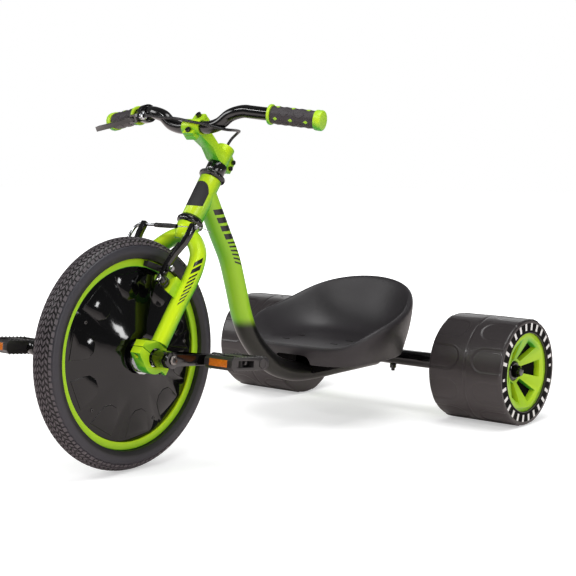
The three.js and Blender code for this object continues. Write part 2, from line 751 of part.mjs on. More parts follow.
function stem() {
  const clamp = rod(stemClampRadius, stemBase, stemTop, 24);
  const neckFront = -stemReach + barClampBack / 2;
  const neckShares = [[0, 0, 0], [0, 0.6, 0], [0.36, 0.6, 0.1], [0.65, 0.72, 0.5], [1, 0.85, 1],
    [1, 0.18, 1], [0.5, 0.24, 0.5], [0.22, 0, 0]];
  const climb = barHeightAboveHub - barAboveStemBase - stemBase;
  const neckOutline = neckShares.map(([reachShare, riseShare, climbShare]) => [neckFront * reachShare,
    stemBase + stemHeight * riseShare + climb * climbShare]);
  const neck = prism(neckOutline, -stemNeckWidth / 2,
    stemNeckWidth / 2).rotateZ(Math.PI / 2).rotateY(Math.PI / 2);
  const back = onBarClamp(barClampEars(faceSplit / 2, barClampBack));
  const behindBar = barRadius + seatingGap + barClampWall;
  const shellBack = onBarClamp(alongX(rod(behindBar, -barClampHalfWidth, barClampHalfWidth, 20)));
  const earOutline = [[0, stemBase], [pinchEarReach, stemBase], [pinchEarReach, stemBase + pinchEarTop],
    [stemClampRadius / 2, stemTop - stemTopWall], [0, stemTop - stemTopWall]];
  const ears = prism(earOutline, -pinchEarHalfWidth,
    pinchEarHalfWidth).rotateZ(Math.PI / 2).rotateY(Math.PI / 2);
  const steererHole = rod(steererRadius + seatingGap, stemBase - cutOverrun, stemTop - stemTopWall, 20);
  const cableHole = rod(cableRadius * 2, stemTop - stemTopWall - cutOverrun, stemTop + cutOverrun, 12);
  const slot = block([-pinchSlot / 2, steererRadius, stemBase - cutOverrun],
    [pinchSlot / 2, pinchEarReach + cutOverrun, stemTop + cutOverrun]);
  const boltHoles = pinchBoltHeights().map((height) => {
    const hole = alongX(rod(pinchBoltRadius + seatingGap, -pinchEarHalfWidth - cutOverrun,
      pinchEarHalfWidth + cutOverrun, 8));
    return hole.translate(0, pinchBoltReach, height);
  });
  const frontHalf = onBarClamp(block([-barClampHalfWidth * 2, -stemHeight, -stemHeight],
    [barClampHalfWidth * 2, faceSplit / 2, stemHeight]));
  return cut(join(clamp, neck, back, shellBack, ears), frontHalf, steererHole, cableHole, slot, barBore(),
    ...boltHoles, faceBoltHole(faceBoltAbove), faceBoltHole(-faceBoltBelow));
}

function facePlate() {
  const ears = onBarClamp(barClampEars(-faceEarDepth, -faceSplit / 2));
  const aroundBar = barRadius + seatingGap + barClampWall;
  const cap = onBarClamp(alongX(rod(aroundBar, -barClampHalfWidth, barClampHalfWidth, 20)));
  const backHalf = onBarClamp(block([-barClampHalfWidth * 2, -faceSplit / 2, -stemHeight],
    [barClampHalfWidth * 2, stemHeight, stemHeight]));
  const recess = onBarClamp(alongY(rod(faceBoltHeadRadius + seatingGap, -aroundBar - cutOverrun,
    -faceEarDepth, 10))
    .translate(0, 0, -faceBoltBelow));
  return cut(join(ears, cap), backHalf, barBore(), recess, faceBoltHole(faceBoltAbove),
    faceBoltHole(-faceBoltBelow));
}

function faceBolt(height) {
  const seat = -faceEarDepth - seatingGap;
  const bolt = spun([[0, seat - faceBoltHeadHeight], [faceBoltHeadRadius, seat - faceBoltHeadHeight],
    [faceBoltHeadRadius, seat], [faceBoltRadius, seat], [faceBoltRadius, faceBoltDepth],
    [0, faceBoltDepth]], 10);
  return onBarClamp(alongY(bolt).translate(0, 0, height));
}

function pinchBolt(height) {
  const face = pinchEarHalfWidth + seatingGap;
  const bolt = spun([[0, -pinchEarHalfWidth], [pinchBoltRadius, -pinchEarHalfWidth],
    [pinchBoltRadius, face],
    [pinchBoltHeadRadius, face], [pinchBoltHeadRadius, face + pinchBoltHeadHeight],
    [0, face + pinchBoltHeadHeight]], 10);
  return alongX(bolt).translate(0, pinchBoltReach, height);
}

// Handlebar and grips. The grip line is straight: it lies above the clamp by the rise and sweeps back.

function gripDirection(side) {
  return vector(side * gripLength, gripSweep, gripClimb).normalize();
}

function gripPoint(side, along) {
  const root = vector(side * gripStart, -stemReach + barRadius * 0.25,
    barHeightAboveHub + barRise + gripClimb);
  return root.addScaledVector(gripDirection(side), along);
}

function handlebar() {
  const bendShares = [[0.37, 0.23, 0.24], [0.5, 0.77, 0.76], [0.618, 1, 0.98]];
  const barLineShares = [-0.49, -0.36, 0.3, 1];
  const clampEnd = barClampHalfWidth + cutOverrun;
  const half = (side) => [
    vector(side * clampEnd, -stemReach, barHeightAboveHub),
    vector(side * (clampEnd + barRadius), -stemReach, barHeightAboveHub),
    ...bendShares.map(([xShare, forwardShare, riseShare]) => vector(
      side * gripStart * xShare, -stemReach - barForward * forwardShare,
        barHeightAboveHub + barRise * riseShare)),
    ...barLineShares.map((share) => gripPoint(side, share * gripLength)),
  ];
  const points = [...half(1).reverse(), vector(0, -stemReach, barHeightAboveHub), ...half(-1)];
  return sweep(points, barRadius, barSides, barSteps);
}

/** Lays a piece built about Z along the grip line, at a distance from the grip's inner end. */
function onGripLine(geometry, side, along) {
  const turn = new THREE.Quaternion().setFromUnitVectors(vector(0, 0, 1), gripDirection(side));
  const place = gripPoint(side, along);
  return geometry.applyQuaternion(turn).translate(place.x, place.y, place.z);
}

function grip(side) {
  const hole = barRadius + seatingGap;
  const end = gripLength - barEndSkirt - seatingGap;
  return onGripLine(spun([[hole, 0], [gripFlangeRadius, 0], [gripFlangeRadius, gripFlangeWidth],
    [gripRadius, gripFlangeWidth], [gripRadius, end], [hole, end]], gripSides), side, 0);
}

function barEndPlug(side) {
  const hole = barRadius + seatingGap;
  const from = gripLength - barEndSkirt;
  const floor = gripLength + seatingGap;
  return onGripLine(spun([[hole, from], [barEndRadius, from], [barEndRadius, floor + barEndWall * 0.6],
    [barEndRadius - barEndWall * 0.6, floor + barEndWall], [0, floor + barEndWall], [0, floor],
    [hole, floor]], gripSides), side, 0);
}

// Brake lever, in its own frame: X runs out along the right grip, Y reaches towards the fingers

function leverFrame() {
  const outward = gripDirection(-1);
  const droop = vector(0, -Math.cos(leverDroop), -Math.sin(leverDroop));
  const reach = droop.addScaledVector(outward, -droop.dot(outward)).normalize();
  const up = outward.clone().cross(reach);
  const along = leverClampStation - gripStart;
  return new THREE.Matrix4().makeBasis(outward, reach, up).setPosition(gripPoint(-1, along));
}

function leverPerch() {
  const half = leverClampWidth / 2;
  const clamp = alongX(rod(leverClampRadius, -half, half, 18));
  const near = leverPivotReach - leverPivotRadius * 2;
  const body = block([-leverBodyWidth / 2, barRadius, -leverBodyHeight / 2],
    [leverBodyWidth / 2, leverPivotReach + leverPivotRadius * 1.5, leverBodyHeight / 2]);
  const barHole = alongX(rod(barRadius + seatingGap, -leverBodyWidth, leverBodyWidth, 20));
  const mouth = block([-leverBodyWidth / 4, near, -leverBladeHeight / 2 - runningGap],
    [leverBodyWidth, leverPivotReach * 2, leverBladeHeight / 2 + runningGap]);
  const pin = rod(leverPivotRadius, -leverBodyHeight / 2 - seatingGap, leverBodyHeight / 2 + seatingGap,
    12);
  pin.translate(leverPivotRadius, leverPivotReach, 0);
  const adjuster = alongX(rod(adjusterRadius, -leverBodyWidth / 2 - adjusterLength, -leverBodyWidth / 4,
    12));
  adjuster.translate(0, leverPivotReach - leverPivotRadius, 0);
  return join(cut(join(clamp, body, adjuster), barHole, mouth), pin);
}

function leverBlade() {
  const inner = leverBladeThickness / 2;
  const eye = rod(leverPivotRadius * 2, -leverBladeHeight / 2, leverBladeHeight / 2, 14);
  eye.translate(leverPivotRadius, leverPivotReach, 0);
  const outline = [
    [leverPivotRadius, leverPivotReach - inner], [leverBladeLength * 0.3, leverBladeReach * 0.78 - inner],
    [leverBladeLength * 0.65, leverBladeReach - inner], [leverBladeLength, leverBladeReach - inner],
    [leverBladeLength, leverBladeReach + inner * 1.6], [leverBladeLength * 0.62, leverBladeReach + inner],
    [leverBladeLength * 0.28, leverBladeReach * 0.82 + inner],
    [leverPivotRadius, leverPivotReach + inner * 1.6],
  ];
  const blade = prism(outline, -leverBladeHeight / 2, leverBladeHeight / 2);
  const hole = rod(leverPivotRadius + seatingGap, -leverBladeHeight, leverBladeHeight, 12);
  hole.translate(leverPivotRadius, leverPivotReach, 0);
  return cut(join(eye, blade), hole);
}

// Rim brake, in the steering frame

// Where an arm's middle runs, as shares of its lean and its reach. It is upright at the pad and the wire.
const brakeArmShares = [[0, 0], [-0.1, 0.12], [-0.1, 0.28], [0.16, 0.45], [0.85, 0.66], [1, 0.8], [1, 1]];

function brakeArm(side) {
  const low = brakePivotHeight;
  const half = brakeArmHalfWidth;
  const eye = rod(brakeArmEyeRadius, brakeBossFace + seatingGap,
    brakeBossFace + seatingGap + brakeArmThickness, 16);
  const place = [side * brakePivotOffset, low];
  eye.translate(place[0], place[1], 0);
  const line = brakeArmShares.map(([lean, rise]) => [brakePivotOffset + brakeArmLean * lean,
    low + brakeArmReach * rise]);
  const inner = line.map(([x, z]) => [side * (x - half), z]);
  const outer = line.map(([x, z]) => [side * (x + half), z]).reverse();
  const outline = [...inner, ...outer];
  const blade = prism(outline, brakeBossFace + seatingGap, brakeBossFace + seatingGap + brakeArmThickness);
  const pivotHole = rod(pivotBoltRadius + seatingGap, 0, brakeBossFace * 2, 10).translate(place[0],
    place[1], 0);
  const postHole = alongX(rod(brakePostRadius + seatingGap, -forkLegOffset, forkLegOffset, 10));
  postHole.translate(0, padPost().height, padPost().reach);
  const wireHole = alongX(rod(brakeWireRadius + seatingGap, -forkLegOffset * 2, forkLegOffset * 2, 8));
  wireHole.translate(0, wireHeight(), padPost().reach);
  return cut(join(eye, blade), pivotHole, postHole, wireHole).rotateX(Math.PI / 2);
}

function padPost() {
  const reach = brakeBossFace + seatingGap + brakeArmThickness / 2;
  return { reach, height: Math.sqrt(brakePadRadius ** 2 - reach ** 2) };
}

function wireHeight() {
  return brakePivotHeight + brakeArmReach - brakeArmHalfWidth;
}

function brakePad(side) {
  const { reach, height } = padPost();
  const face = rimHalfWidth + brakePadClearance;
  const back = face + brakePadThickness;
  const padBlock = block([face, -brakePadLength / 2, -brakePadHeight / 2],
    [back, brakePadLength / 2, brakePadHeight / 2]);
  padBlock.rotateX(Math.asin(reach / brakePadRadius)).translate(0, -reach, height);
  const nutFace = brakePivotOffset + brakeArmHalfWidth + seatingGap;
  const post = alongX(rod(brakePostRadius, back - seatingGap, nutFace + brakePostNutThickness * 1.5, 10));
  const nut = alongX(rod(brakePostNutRadius, nutFace, nutFace + brakePostNutThickness, 6));
  const pad = join(padBlock, join(post, nut).translate(0, -reach, height));
  return side > 0 ? pad : mirroredX(pad);
}

function pivotBolt(side) {
  const armFront = brakeBossFace + seatingGap + brakeArmThickness + seatingGap;
  const bolt = spun([[0, brakeBossRoot + brakeBossRadius + seatingGap],
    [pivotBoltRadius, brakeBossRoot + brakeBossRadius + seatingGap], [pivotBoltRadius, armFront],
    [pivotBoltHeadRadius, armFront], [pivotBoltHeadRadius, armFront + pivotBoltHeadHeight],
    [0, armFront + pivotBoltHeadHeight]], 12);
  return bolt.rotateX(Math.PI / 2).translate(side * brakePivotOffset, 0, brakePivotHeight);
}

/** The bent steel pipe on the right arm: it rises outside the arm and turns in through the arm's head. */
function noodle() {
  const inX = -(brakePivotOffset + brakeArmLean - brakeArmHalfWidth);
  const y = -padPost().reach;
  const top = wireHeight();
  const outX = -(brakePivotOffset + brakeArmLean + brakeArmHalfWidth + seatingGap);
  const bend = noodleRadius * 5;
  const pipe = sweep([
    vector(outX - bend, y, top - bend * 2), vector(outX - bend, y, top - bend),
    vector(outX - bend * 0.7, y, top - bend * 0.3), vector(outX - noodleRadius, y, top),
  ], noodleRadius, 8, 8);
  const elbow = alongX(rod(noodleRadius, outX - noodleRadius * 2, outX, 8)).translate(0, y, top);
  const tip = alongX(rod(brakeWireRadius, outX - noodleRadius, inX + seatingGap, 8)).translate(0, y, top);
  const nose = alongX(rod(noodleRadius, inX + seatingGap, inX + noodleNose, 8)).translate(0, y, top);
  return join(pipe, elbow, tip, nose);
}

/** The bare wire across the tyre with its rubber boot, held by the left arm. */
function bootAndWire() {
  const y = -padPost().reach;
  const top = wireHeight();
  const noodleTip = -(brakePivotOffset + brakeArmLean - brakeArmHalfWidth) + noodleNose;
  const armFace = brakePivotOffset + brakeArmLean + brakeArmHalfWidth;
  const bootStart = noodleTip + seatingGap;
  const bootEnd = bootStart + bootLength;
  const profile = [
    [0, bootStart], [bootRadius, bootStart], [bootRadius, bootEnd - bootRadius * 2],
    [brakeWireRadius, bootEnd], [brakeWireRadius, armFace + seatingGap],
    [brakePostNutRadius * 0.8, armFace + seatingGap],
    [brakePostNutRadius * 0.8, armFace + brakePostNutThickness], [0, armFace + brakePostNutThickness],
  ];
  return alongX(spun(profile, 10)).translate(0, y, top);
}

// The brake cable from the lever to inside the steerer, as shares of the lever clamp's station, the
// stem's reach and the bar's height above the hub: in front of the bar, round behind the stem and in
// through the stem's top
const cableTopShares = [
  [-0.4882, -1.2499, 1.013], [-0.2991, -1.1919, 1.0175], [-0.0157, -1.2128, 1],
  [0.126, -1.2165, 0.9917], [0.2441, -1.1998, 0.9875], [0.378, -1.178, 0.9812],
  [0.4804, -1.1047, 0.9812], [0.5354, -1.0235, 0.9875], [0.5432, -0.8838, 1.005],
  [0.4961, -0.701, 1.0326], [0.3465, -0.3791, 1.0807], [0.1891, -0.128, 1.1153],
  [0.0867, -0.0233, 1.1203], [0.0235, 0, 1.0977], [0, 0, 1.0576], [0, 0, 1.0025], [0, 0, 0.9273],
  [0, 0, 0.802],
];

// The rest of the cable, as shares of the fork leg's offset, the brake boss's face and the crown's
// height: out of the steerer below the crown and on to the right arm
const cableLowShares = [
  [0, 0, 1.1588], [0, 0, 1.0043], [-0.0333, 0, 0.9485], [-0.15, 0.0526, 0.9013],
  [-0.3333, 0.1316, 0.867], [-0.55, -0.0526, 0.8283], [-0.7167, -0.3947, 0.7983],
  [-0.8667, -0.7105, 0.7597], [-1.0333, -0.9211, 0.7296], [-1.2, -1.0658, 0.7339],
];

function brakeCable() {
  const leverEnd = vector(-leverBodyWidth / 2 - adjusterLength - seatingGap,
    leverPivotReach - leverPivotRadius, 0);
  const start = leverEnd.clone().applyMatrix4(leverFrame());
  const lead = leverEnd.clone().add(vector(-cableRadius * 3, 0, 0)).applyMatrix4(leverFrame());
  const outX = -(brakePivotOffset + brakeArmLean + brakeArmHalfWidth + seatingGap) - noodleRadius * 5;
  const mouth = vector(outX, -padPost().reach, wireHeight() - noodleRadius * 10 - seatingGap);
  const upper = cableTopShares.map(([across, ahead, up]) => vector(leverClampStation * across,
    stemReach * ahead, barHeightAboveHub * up));
  const lower = cableLowShares.map(([across, ahead, up]) => vector(forkLegOffset * across,
    brakeBossFace * ahead, forkCrownHeight * up));
  const route = [start, lead, ...upper, ...lower, mouth.clone().add(vector(0, 0, -cableRadius * 4)), mouth];
  return sweep(route, cableRadius, cableSides, cableSteps);
}

// Frame

function steeringToTrike(geometry) {
  return geometry.rotateX(-steeringLean).translate(frontHub.x, frontHub.y, frontHub.z);
}

function spinePoints() {
  const head = vector(0, 0, spineHeadStation).applyAxisAngle(vector(1, 0, 0), -steeringLean).add(frontHub);
  const run = railStart - head.y;
  const drop = head.z - railHeight;
  const bendShares = [
    [0, 0], [0.131, 0.209], [0.213, 0.339], [0.268, 0.477], [0.323, 0.629], [0.375, 0.725], [0.443, 0.801],
    [0.526, 0.866], [0.625, 0.928], [0.732, 0.965], [0.852, 0.99], [1, 1],
  ];
  const bend = bendShares.map(([runShare, dropShare]) => vector(0, head.y + run * runShare,
    head.z - drop * dropShare));
  const railEnd = rearAxleY - axleTubeRadius - seatingGap;
  return [...bend, vector(0, (railStart + railEnd) / 2, railHeight), vector(0, railEnd, railHeight)];
}

function axlePlate() {
  const low = rearTyreRadius + axleTubeRadius + seatingGap;
  return block([-axlePlateHalfWidth, rearAxleY - axlePlateForward, low],
    [axlePlateHalfWidth, rearAxleY + axlePlateBack, low + axlePlateThickness]);
}

function axleBoltHole(side) {
  const hole = rod(axleBoltRadius + seatingGap, 0, rearTyreRadius * 2, 10);
  return hole.translate(side * axleBoltOffset, rearAxleY, 0);
}

function frame() {
  const headTube = steeringToTrike(rod(headTubeRadius, headTubeBase, headTubeTop, 24));
  const headBore = steeringToTrike(rod(headTubeBore, headTubeBase - cutOverrun, headTubeTop + cutOverrun,
    20));
  const spine = sweep(spinePoints(), spineRadius, spineSides, spineSteps);
  const holes = [-1, 1].map(axleBoltHole);
  return cut(join(headTube, spine, axlePlate()), headBore, ...holes);
}

function rearAxle() {
  const profile = [
    [0, -stubAxleEnd], [stubAxleRadius, -stubAxleEnd], [stubAxleRadius, -axleTubeHalfLength],
    [axleTubeRadius, -axleTubeHalfLength], [axleTubeRadius, axleTubeHalfLength],
    [stubAxleRadius, axleTubeHalfLength], [stubAxleRadius, stubAxleEnd], [0, stubAxleEnd],
  ];
  const axle = alongX(spun(profile, 20)).translate(0, rearAxleY, rearTyreRadius);
  return cut(axle, ...[-1, 1].map(axleBoltHole));
}

function axleBolt(side) {
  const plateTop = rearTyreRadius + axleTubeRadius + seatingGap + axlePlateThickness + seatingGap;
  const nutTop = rearTyreRadius - axleTubeRadius - seatingGap;
  const nutLow = nutTop - axleBoltNutHeight;
  const profile = [
    [0, nutLow - axleBoltTail], [axleBoltRadius, nutLow - axleBoltTail], [axleBoltRadius, nutLow],
    [axleBoltHeadRadius, nutLow], [axleBoltHeadRadius, nutTop], [axleBoltRadius, nutTop],
    [axleBoltRadius, plateTop], [axleBoltHeadRadius, plateTop],
    [axleBoltHeadRadius, plateTop + axleBoltHeadHeight], [0, plateTop + axleBoltHeadHeight],
  ];
  return spun(profile, 10).translate(side * axleBoltOffset, rearAxleY, 0);
}

// Rear wheels, about their own centre: X is the axle and the outer face is on +X

function rearTyre() {
  const half = rearWheelWidth / 2;
  const shoulder = rearTyreRadius - rearTyreEdge;
  const flat = half - rearTyreEdge;
  const inner = rearHubRadius + seatingGap;
  const profile = [
    [inner, -half], ...arc(shoulder, -flat, rearTyreEdge, -Math.PI / 2, 0, 2),
    ...arc(shoulder, flat, rearTyreEdge, 0, Math.PI / 2, 2), [inner, half],
  ];
  return alongX(spunOnFlats(profile, rearSides));
}

function rearHub() {
  const half = rearWheelWidth / 2 - rearHubRecess;
  const rimInner = rearHubRadius - rearHubRimWall;
  const bore = bushRadius + seatingGap;
  const bossFace = half - rearDishDepth;
  const shell = spunOnFlats([[bore, -half], [rearHubRadius, -half], [rearHubRadius, half],
    [rimInner, half], [rearBossRadius, bossFace], [bore, bossFace]], rearSides);
  const cavity = spunOnFlats([[rearBossRadius, rearHubWeb - half], [rimInner, rearHubWeb - half],
    [rimInner, half - rearDishThickness], [rearBossRadius, bossFace - rearDishThickness]], rearSides);
  const slope = Math.tan((Math.PI / rearSpokes) * rearWindowSpanShare);
  const corner = rearWindowOuter * rearWindowEndShare;
  const windowOutline = [
    [rearWindowInner, -rearWindowInner * slope], [corner, -corner * slope],
    [rearWindowOuter, 0], [corner, corner * slope], [rearWindowInner, rearWindowInner * slope],
  ];
  const windows = Array.from({ length: rearSpokes }, (_, i) => prism(windowOutline, 0, half + cutOverrun)
    .rotateZ(((i + rearWindowTurnShare) / rearSpokes) * Math.PI * 2));
  return alongX(cut(shell, cavity, ...windows));
}

/** The nylon sleeve that the wheel turns on, with a flange against the axle tube's shoulder. */
function rearBush() {
  const half = rearWheelWidth / 2 - rearHubRecess;
  const inner = -rearTrack / 2 + axleTubeHalfLength + seatingGap;
  const outer = half - rearDishDepth;
  const bore = stubAxleRadius + seatingGap;
  return alongX(spun([[bore, inner], [bushFlangeRadius, inner], [bushFlangeRadius, inner + bushFlange],
    [bushRadius, inner + bushFlange], [bushRadius, outer], [bore, outer]], 16));
}

function axleNut() {
  const face = rearWheelWidth / 2 - rearHubRecess - rearDishDepth + seatingGap;
  const bore = rod(stubAxleRadius + seatingGap, face - cutOverrun, face + axleNutHeight + cutOverrun, 12);
  return alongX(cut(rod(axleNutRadius, face, face + axleNutHeight, 6), bore));
}

// Seat: a moulded shell lofted through rings round its plan, from the pan over the rim and down the skirt

const seatStations = {
  // Shares of the half width, of the length from the front lip, and of the rise above the pan
  rimShares: [
    [0, 0, 0], [0.33, 0.004, 0], [0.6, 0.03, 0.005], [0.76, 0.09, 0.05], [0.88, 0.17, 0.18],
    [0.96, 0.27, 0.31],
    [1, 0.38, 0.39], [0.985, 0.5, 0.465], [0.94, 0.62, 0.55], [0.88, 0.72, 0.65], [0.79, 0.81, 0.765],
    [0.66, 0.885, 0.86], [0.48, 0.945, 0.935], [0.25, 0.985, 0.985], [0, 1, 1],
  ],
  // Shares of the base's half width, of its length, and of the rear rise
  baseShares: [
    [0, 0, 0], [0.42, 0.004, 0], [0.74, 0.03, 0], [0.89, 0.1, 0], [0.96, 0.2, 0], [0.99, 0.32, 0],
    [1, 0.44, 0], [1, 0.56, 0.03], [0.985, 0.67, 0.08], [0.95, 0.78, 0.2], [0.885, 0.87, 0.4],
    [0.785, 0.935, 0.6], [0.6, 0.975, 0.8], [0.3, 0.995, 0.95], [0, 1, 1],
  ],
  // Shares of the pan's half width and of its length
  panShares: [
    [0, 0, 0], [0.42, 0.004, 0], [0.76, 0.03, 0], [0.9, 0.1, 0], [0.97, 0.2, 0], [1, 0.32, 0],
    [1, 0.44, 0], [0.99, 0.56, 0], [0.96, 0.67, 0], [0.9, 0.77, 0], [0.81, 0.855, 0],
    [0.67, 0.92, 0], [0.48, 0.965, 0], [0.25, 0.99, 0], [0, 1, 0],
  ],
  // How much of the rolled lip's full width each station has
  rollShares: [0.3, 0.3, 0.35, 0.5, 0.75, 0.9, 1, 1, 1, 1, 1, 1, 1, 1, 1],
  // Where the walls' middle rings lie between their ends, and how far the inner one hangs
  wallShare: 0.55,
  wallSagShare: 0.1,
  skirtShare: 0.5,
};

function seatRing(shares, halfWidth, length, rise, front, height) {
  const right = shares.map(([x, y, z]) => vector(x * halfWidth, front + y * length, height + z * rise));
  const left = shares.slice(1, -1).reverse().map(([x, y, z]) => vector(-x * halfWidth, front + y * length,
    height + z * rise));
  return [...right, ...left];
}

function seatShell() {
  const front = rearAxleY - seatFrontToAxle;
  const { rimShares, baseShares, panShares, rollShares } = seatStations;
  const { wallShare, wallSagShare, skirtShare } = seatStations;
  const lip = seatRing(rimShares, seatHalfWidth, seatLength, seatRise, front, seatPanHeight);
  const base = seatRing(baseShares, seatBaseHalfWidth, seatBaseLength, seatRearRise,
    front + seatBaseSetback,
    seatPanHeight - seatSkirtDrop);
  const pan = seatRing(panShares, seatPanHalfWidth, seatPanLength, 0, front + seatPanSetback,
    seatPanHeight);
  const centre = vector(0, front + seatPanSetback + seatPanLength / 2, seatPanHeight);
  const rollRing = [...rollShares, ...rollShares.slice(1, -1).reverse()];
  const outward = (points, distance) => points.map((point, i) => {
    const fromCentre = vector(point.x - centre.x, point.y - centre.y, 0).normalize();
    return point.clone().addScaledVector(fromCentre, typeof distance === 'number' ? distance : distance[i]);
  });
  const lowered = (points, distance) => points.map((point) => vector(point.x, point.y, point.z - distance));
  const between = (from, to, share, sag) => from.map((point, i) => {
    const middle = point.clone().lerp(to[i], share);
    middle.z -= (to[i].z - point.z) * sag;
    return middle;
  });
  const innerWall = between(pan, lip, wallShare, wallSagShare);
  const crown = outward(lip, rollRing.map((share) => share * seatRollWidth * 0.6));
  const shoulder = lowered(outward(lip, rollRing.map((share) => share * seatRollWidth)), seatRollDrop);
  const skirt = outward(between(base, shoulder, skirtShare, 0),
    rollRing.map((share) => share * seatSkirtBulge));
  const baseInner = outward(base, -seatWall);
  const skirtInner = outward(skirt, -seatWall);
  const lipInset = rollRing.map((share) => share * seatRollWidth * 0.65 - seatWall * 0.8);
  const underLip = lowered(outward(lip, lipInset), seatWall * 1.7);
  const underWall = lowered(outward(innerWall, rollRing.map((share) => share * seatWall)), seatWall);
  const underPan = lowered(pan, seatWall);
  const rings = [pan, innerWall, lip, crown, shoulder, skirt, base, baseInner, skirtInner, underLip,
    underWall,
    underPan];
  const shell = loft(rings, centre, centre.clone().setZ(seatPanHeight - seatWall));
  const notch = block(
    [-seatNotchHalfWidth, front - cutOverrun, seatPanHeight - seatSkirtDrop - cutOverrun],
    [seatNotchHalfWidth, front + seatNotchDepth, seatPanHeight - seatSkirtDrop + seatNotchHeight],
  );
  const slots = [-1, 1].flatMap((side) => [seatSlotFront, seatSlotBack].map((station) => block(
    [side * seatSlotOffset - seatSlotLength / 2, rearAxleY - station - seatSlotWidth / 2,
      seatPanHeight - seatWall * 2],
    [side * seatSlotOffset + seatSlotLength / 2, rearAxleY - station + seatSlotWidth / 2,
      seatPanHeight + seatWall],
  )));
  return cut(shell, notch, ...slots);
}

/** Skins a stack of rings with the same count of points, closed by a point at each end. */
function loft(rings, firstPoint, lastPoint) {
  const count = rings[0].length;
  const places = [firstPoint, ...rings.flat(), lastPoint];
  const corner = (row, i) => 1 + row * count + (i % count);
  const last = places.length - 1;
  const index = [];
  for (let i = 0; i < count; i += 1) {
    index.push(0, corner(0, i), corner(0, i + 1));
    for (let row = 0; row < rings.length - 1; row += 1) {
      index.push(corner(row, i), corner(row + 1, i), corner(row + 1, i + 1));
      index.push(corner(row, i), corner(row + 1, i + 1), corner(row, i + 1));
    }
    index.push(last, corner(rings.length - 1, i + 1), corner(rings.length - 1, i));
  }
  const geometry = new THREE.BufferGeometry().setFromPoints(places);
  geometry.setIndex(index);
  return geometry;
}

function seatBracket() {
  const top = seatPanHeight - seatWall - seatingGap;
  const middle = rearAxleY - (seatSlotFront + seatSlotBack) / 2;
  const front = middle - bracketLength / 2;
  const back = middle + bracketLength / 2;
  const plate = block([-bracketHalfWidth, front, top - bracketThickness], [bracketHalfWidth, back, top]);
  const webs = [-1, 1].map((side) => {
    const near = side * (spineRadius + seatingGap);
    const far = near + side * bracketThickness;
    return block([Math.min(near, far), front, railHeight - bracketWebDrop],
      [Math.max(near, far), back, top - bracketThickness / 2]);
  });
  return join(plate, ...webs);
}

// Assembly

function frontWheel() {
  const group = new THREE.Group();
  const cover = discCover();
  group.add(mesh('front_tyre', frontTyre(), tyreRubber));
  group.add(mesh('front_rim', frontRim(), limePaint));
  group.add(mesh('front_hub_shell', frontHubShell(), chromeSteel));
  group.add(mesh('wheel_cover_left', cover, glossPlastic));
  group.add(mesh('wheel_cover_right', mirroredX(cover), glossPlastic));
  return group;
}

function pedalDrive() {
  const group = new THREE.Group();
  group.add(mesh('crank_spindle', spindle(), chromeSteel));
  const leftCrank = mesh('crank_left', crank(), blackPaint);
  leftCrank.rotation.x = -crankDrop;
  const rightCrank = mesh('crank_right', mirroredX(crank().rotateX(Math.PI)), blackPaint);
  rightCrank.rotation.x = -crankDrop;
  group.add(leftCrank, rightCrank);
  group.add(mesh('crank_bolt_left', crankBolt(), chromeSteel));
  group.add(mesh('crank_bolt_right', mirroredX(crankBolt()), chromeSteel));
  const pedalY = crankLength * Math.cos(crankDrop);
  const pedalZ = crankLength * Math.sin(crankDrop);
  for (const [name, side] of [['left', 1], ['right', -1]]) {
    const set = new THREE.Group();
    const body = side > 0 ? pedal() : mirroredX(pedal());
    set.add(mesh(`pedal_${name}`, body, pedalPlastic));
    for (const [end, direction] of [['front', -1], ['rear', 1]]) {
      const lens = block(...reflectorBox(direction, 0, 0));
      set.add(mesh(`reflector_${name}_${end}`, side > 0 ? lens : mirroredX(lens), amberLens));
    }
    set.rotation.x = -pedalPitch;
    set.position.set(0, side * pedalY, -side * pedalZ);
    group.add(set);
  }
  return group;
}

function steering() {
  const group = new THREE.Group();
  group.add(mesh('fork', fork(), limePaint));
  for (const [name, side] of [['left', 1], ['right', -1]]) {
    const offset = side * clampOffset;
    const bearing = ring(bearingRadius, spindleRadius + seatingGap, offset - bearingWidth / 2,
      offset + bearingWidth / 2, 24);
    group.add(mesh(`hub_clamp_cap_${name}`, hubClampHalf(-1, offset), limePaint));
    group.add(mesh(`hub_bearing_${name}`, alongX(bearing), chromeSteel));
    group.add(mesh(`brake_pivot_bolt_${name}`, pivotBolt(side), chromeSteel));
    group.add(mesh(`brake_arm_${name}`, brakeArm(side), blackPaint));
    group.add(mesh(`brake_pad_${name}`, brakePad(side), gripRubber));
    group.add(mesh(`grip_${name}`, grip(side), gripRubber));
    group.add(mesh(`bar_end_plug_${name}`, barEndPlug(side), limePlastic));
  }
  group.add(mesh('headset_locknut', locknut(), blackSteel));
  group.add(mesh('stem', stem(), limePaint));
  group.add(mesh('stem_faceplate', facePlate(), limePaint));
  group.add(mesh('faceplate_bolt_upper', faceBolt(faceBoltAbove), blackSteel));
  group.add(mesh('faceplate_bolt_lower', faceBolt(-faceBoltBelow), blackSteel));
  const [upperPinch, lowerPinch] = pinchBoltHeights();
  group.add(mesh('stem_pinch_bolt_upper', pinchBolt(upperPinch), blackSteel));
  group.add(mesh('stem_pinch_bolt_lower', pinchBolt(lowerPinch), blackSteel));
  group.add(mesh('handlebar', handlebar(), blackPaint));
  group.add(mesh('brake_lever_perch', leverPerch().applyMatrix4(leverFrame()), blackPaint));
  group.add(mesh('brake_lever_blade', leverBlade().applyMatrix4(leverFrame()), blackPaint));
  group.add(mesh('brake_cable', brakeCable(), cableRubber));
  group.add(mesh('brake_noodle', noodle(), chromeSteel));
  group.add(mesh('brake_boot_and_wire', bootAndWire(), cableRubber));
  group.rotation.x = -steeringLean;
  return group;
}

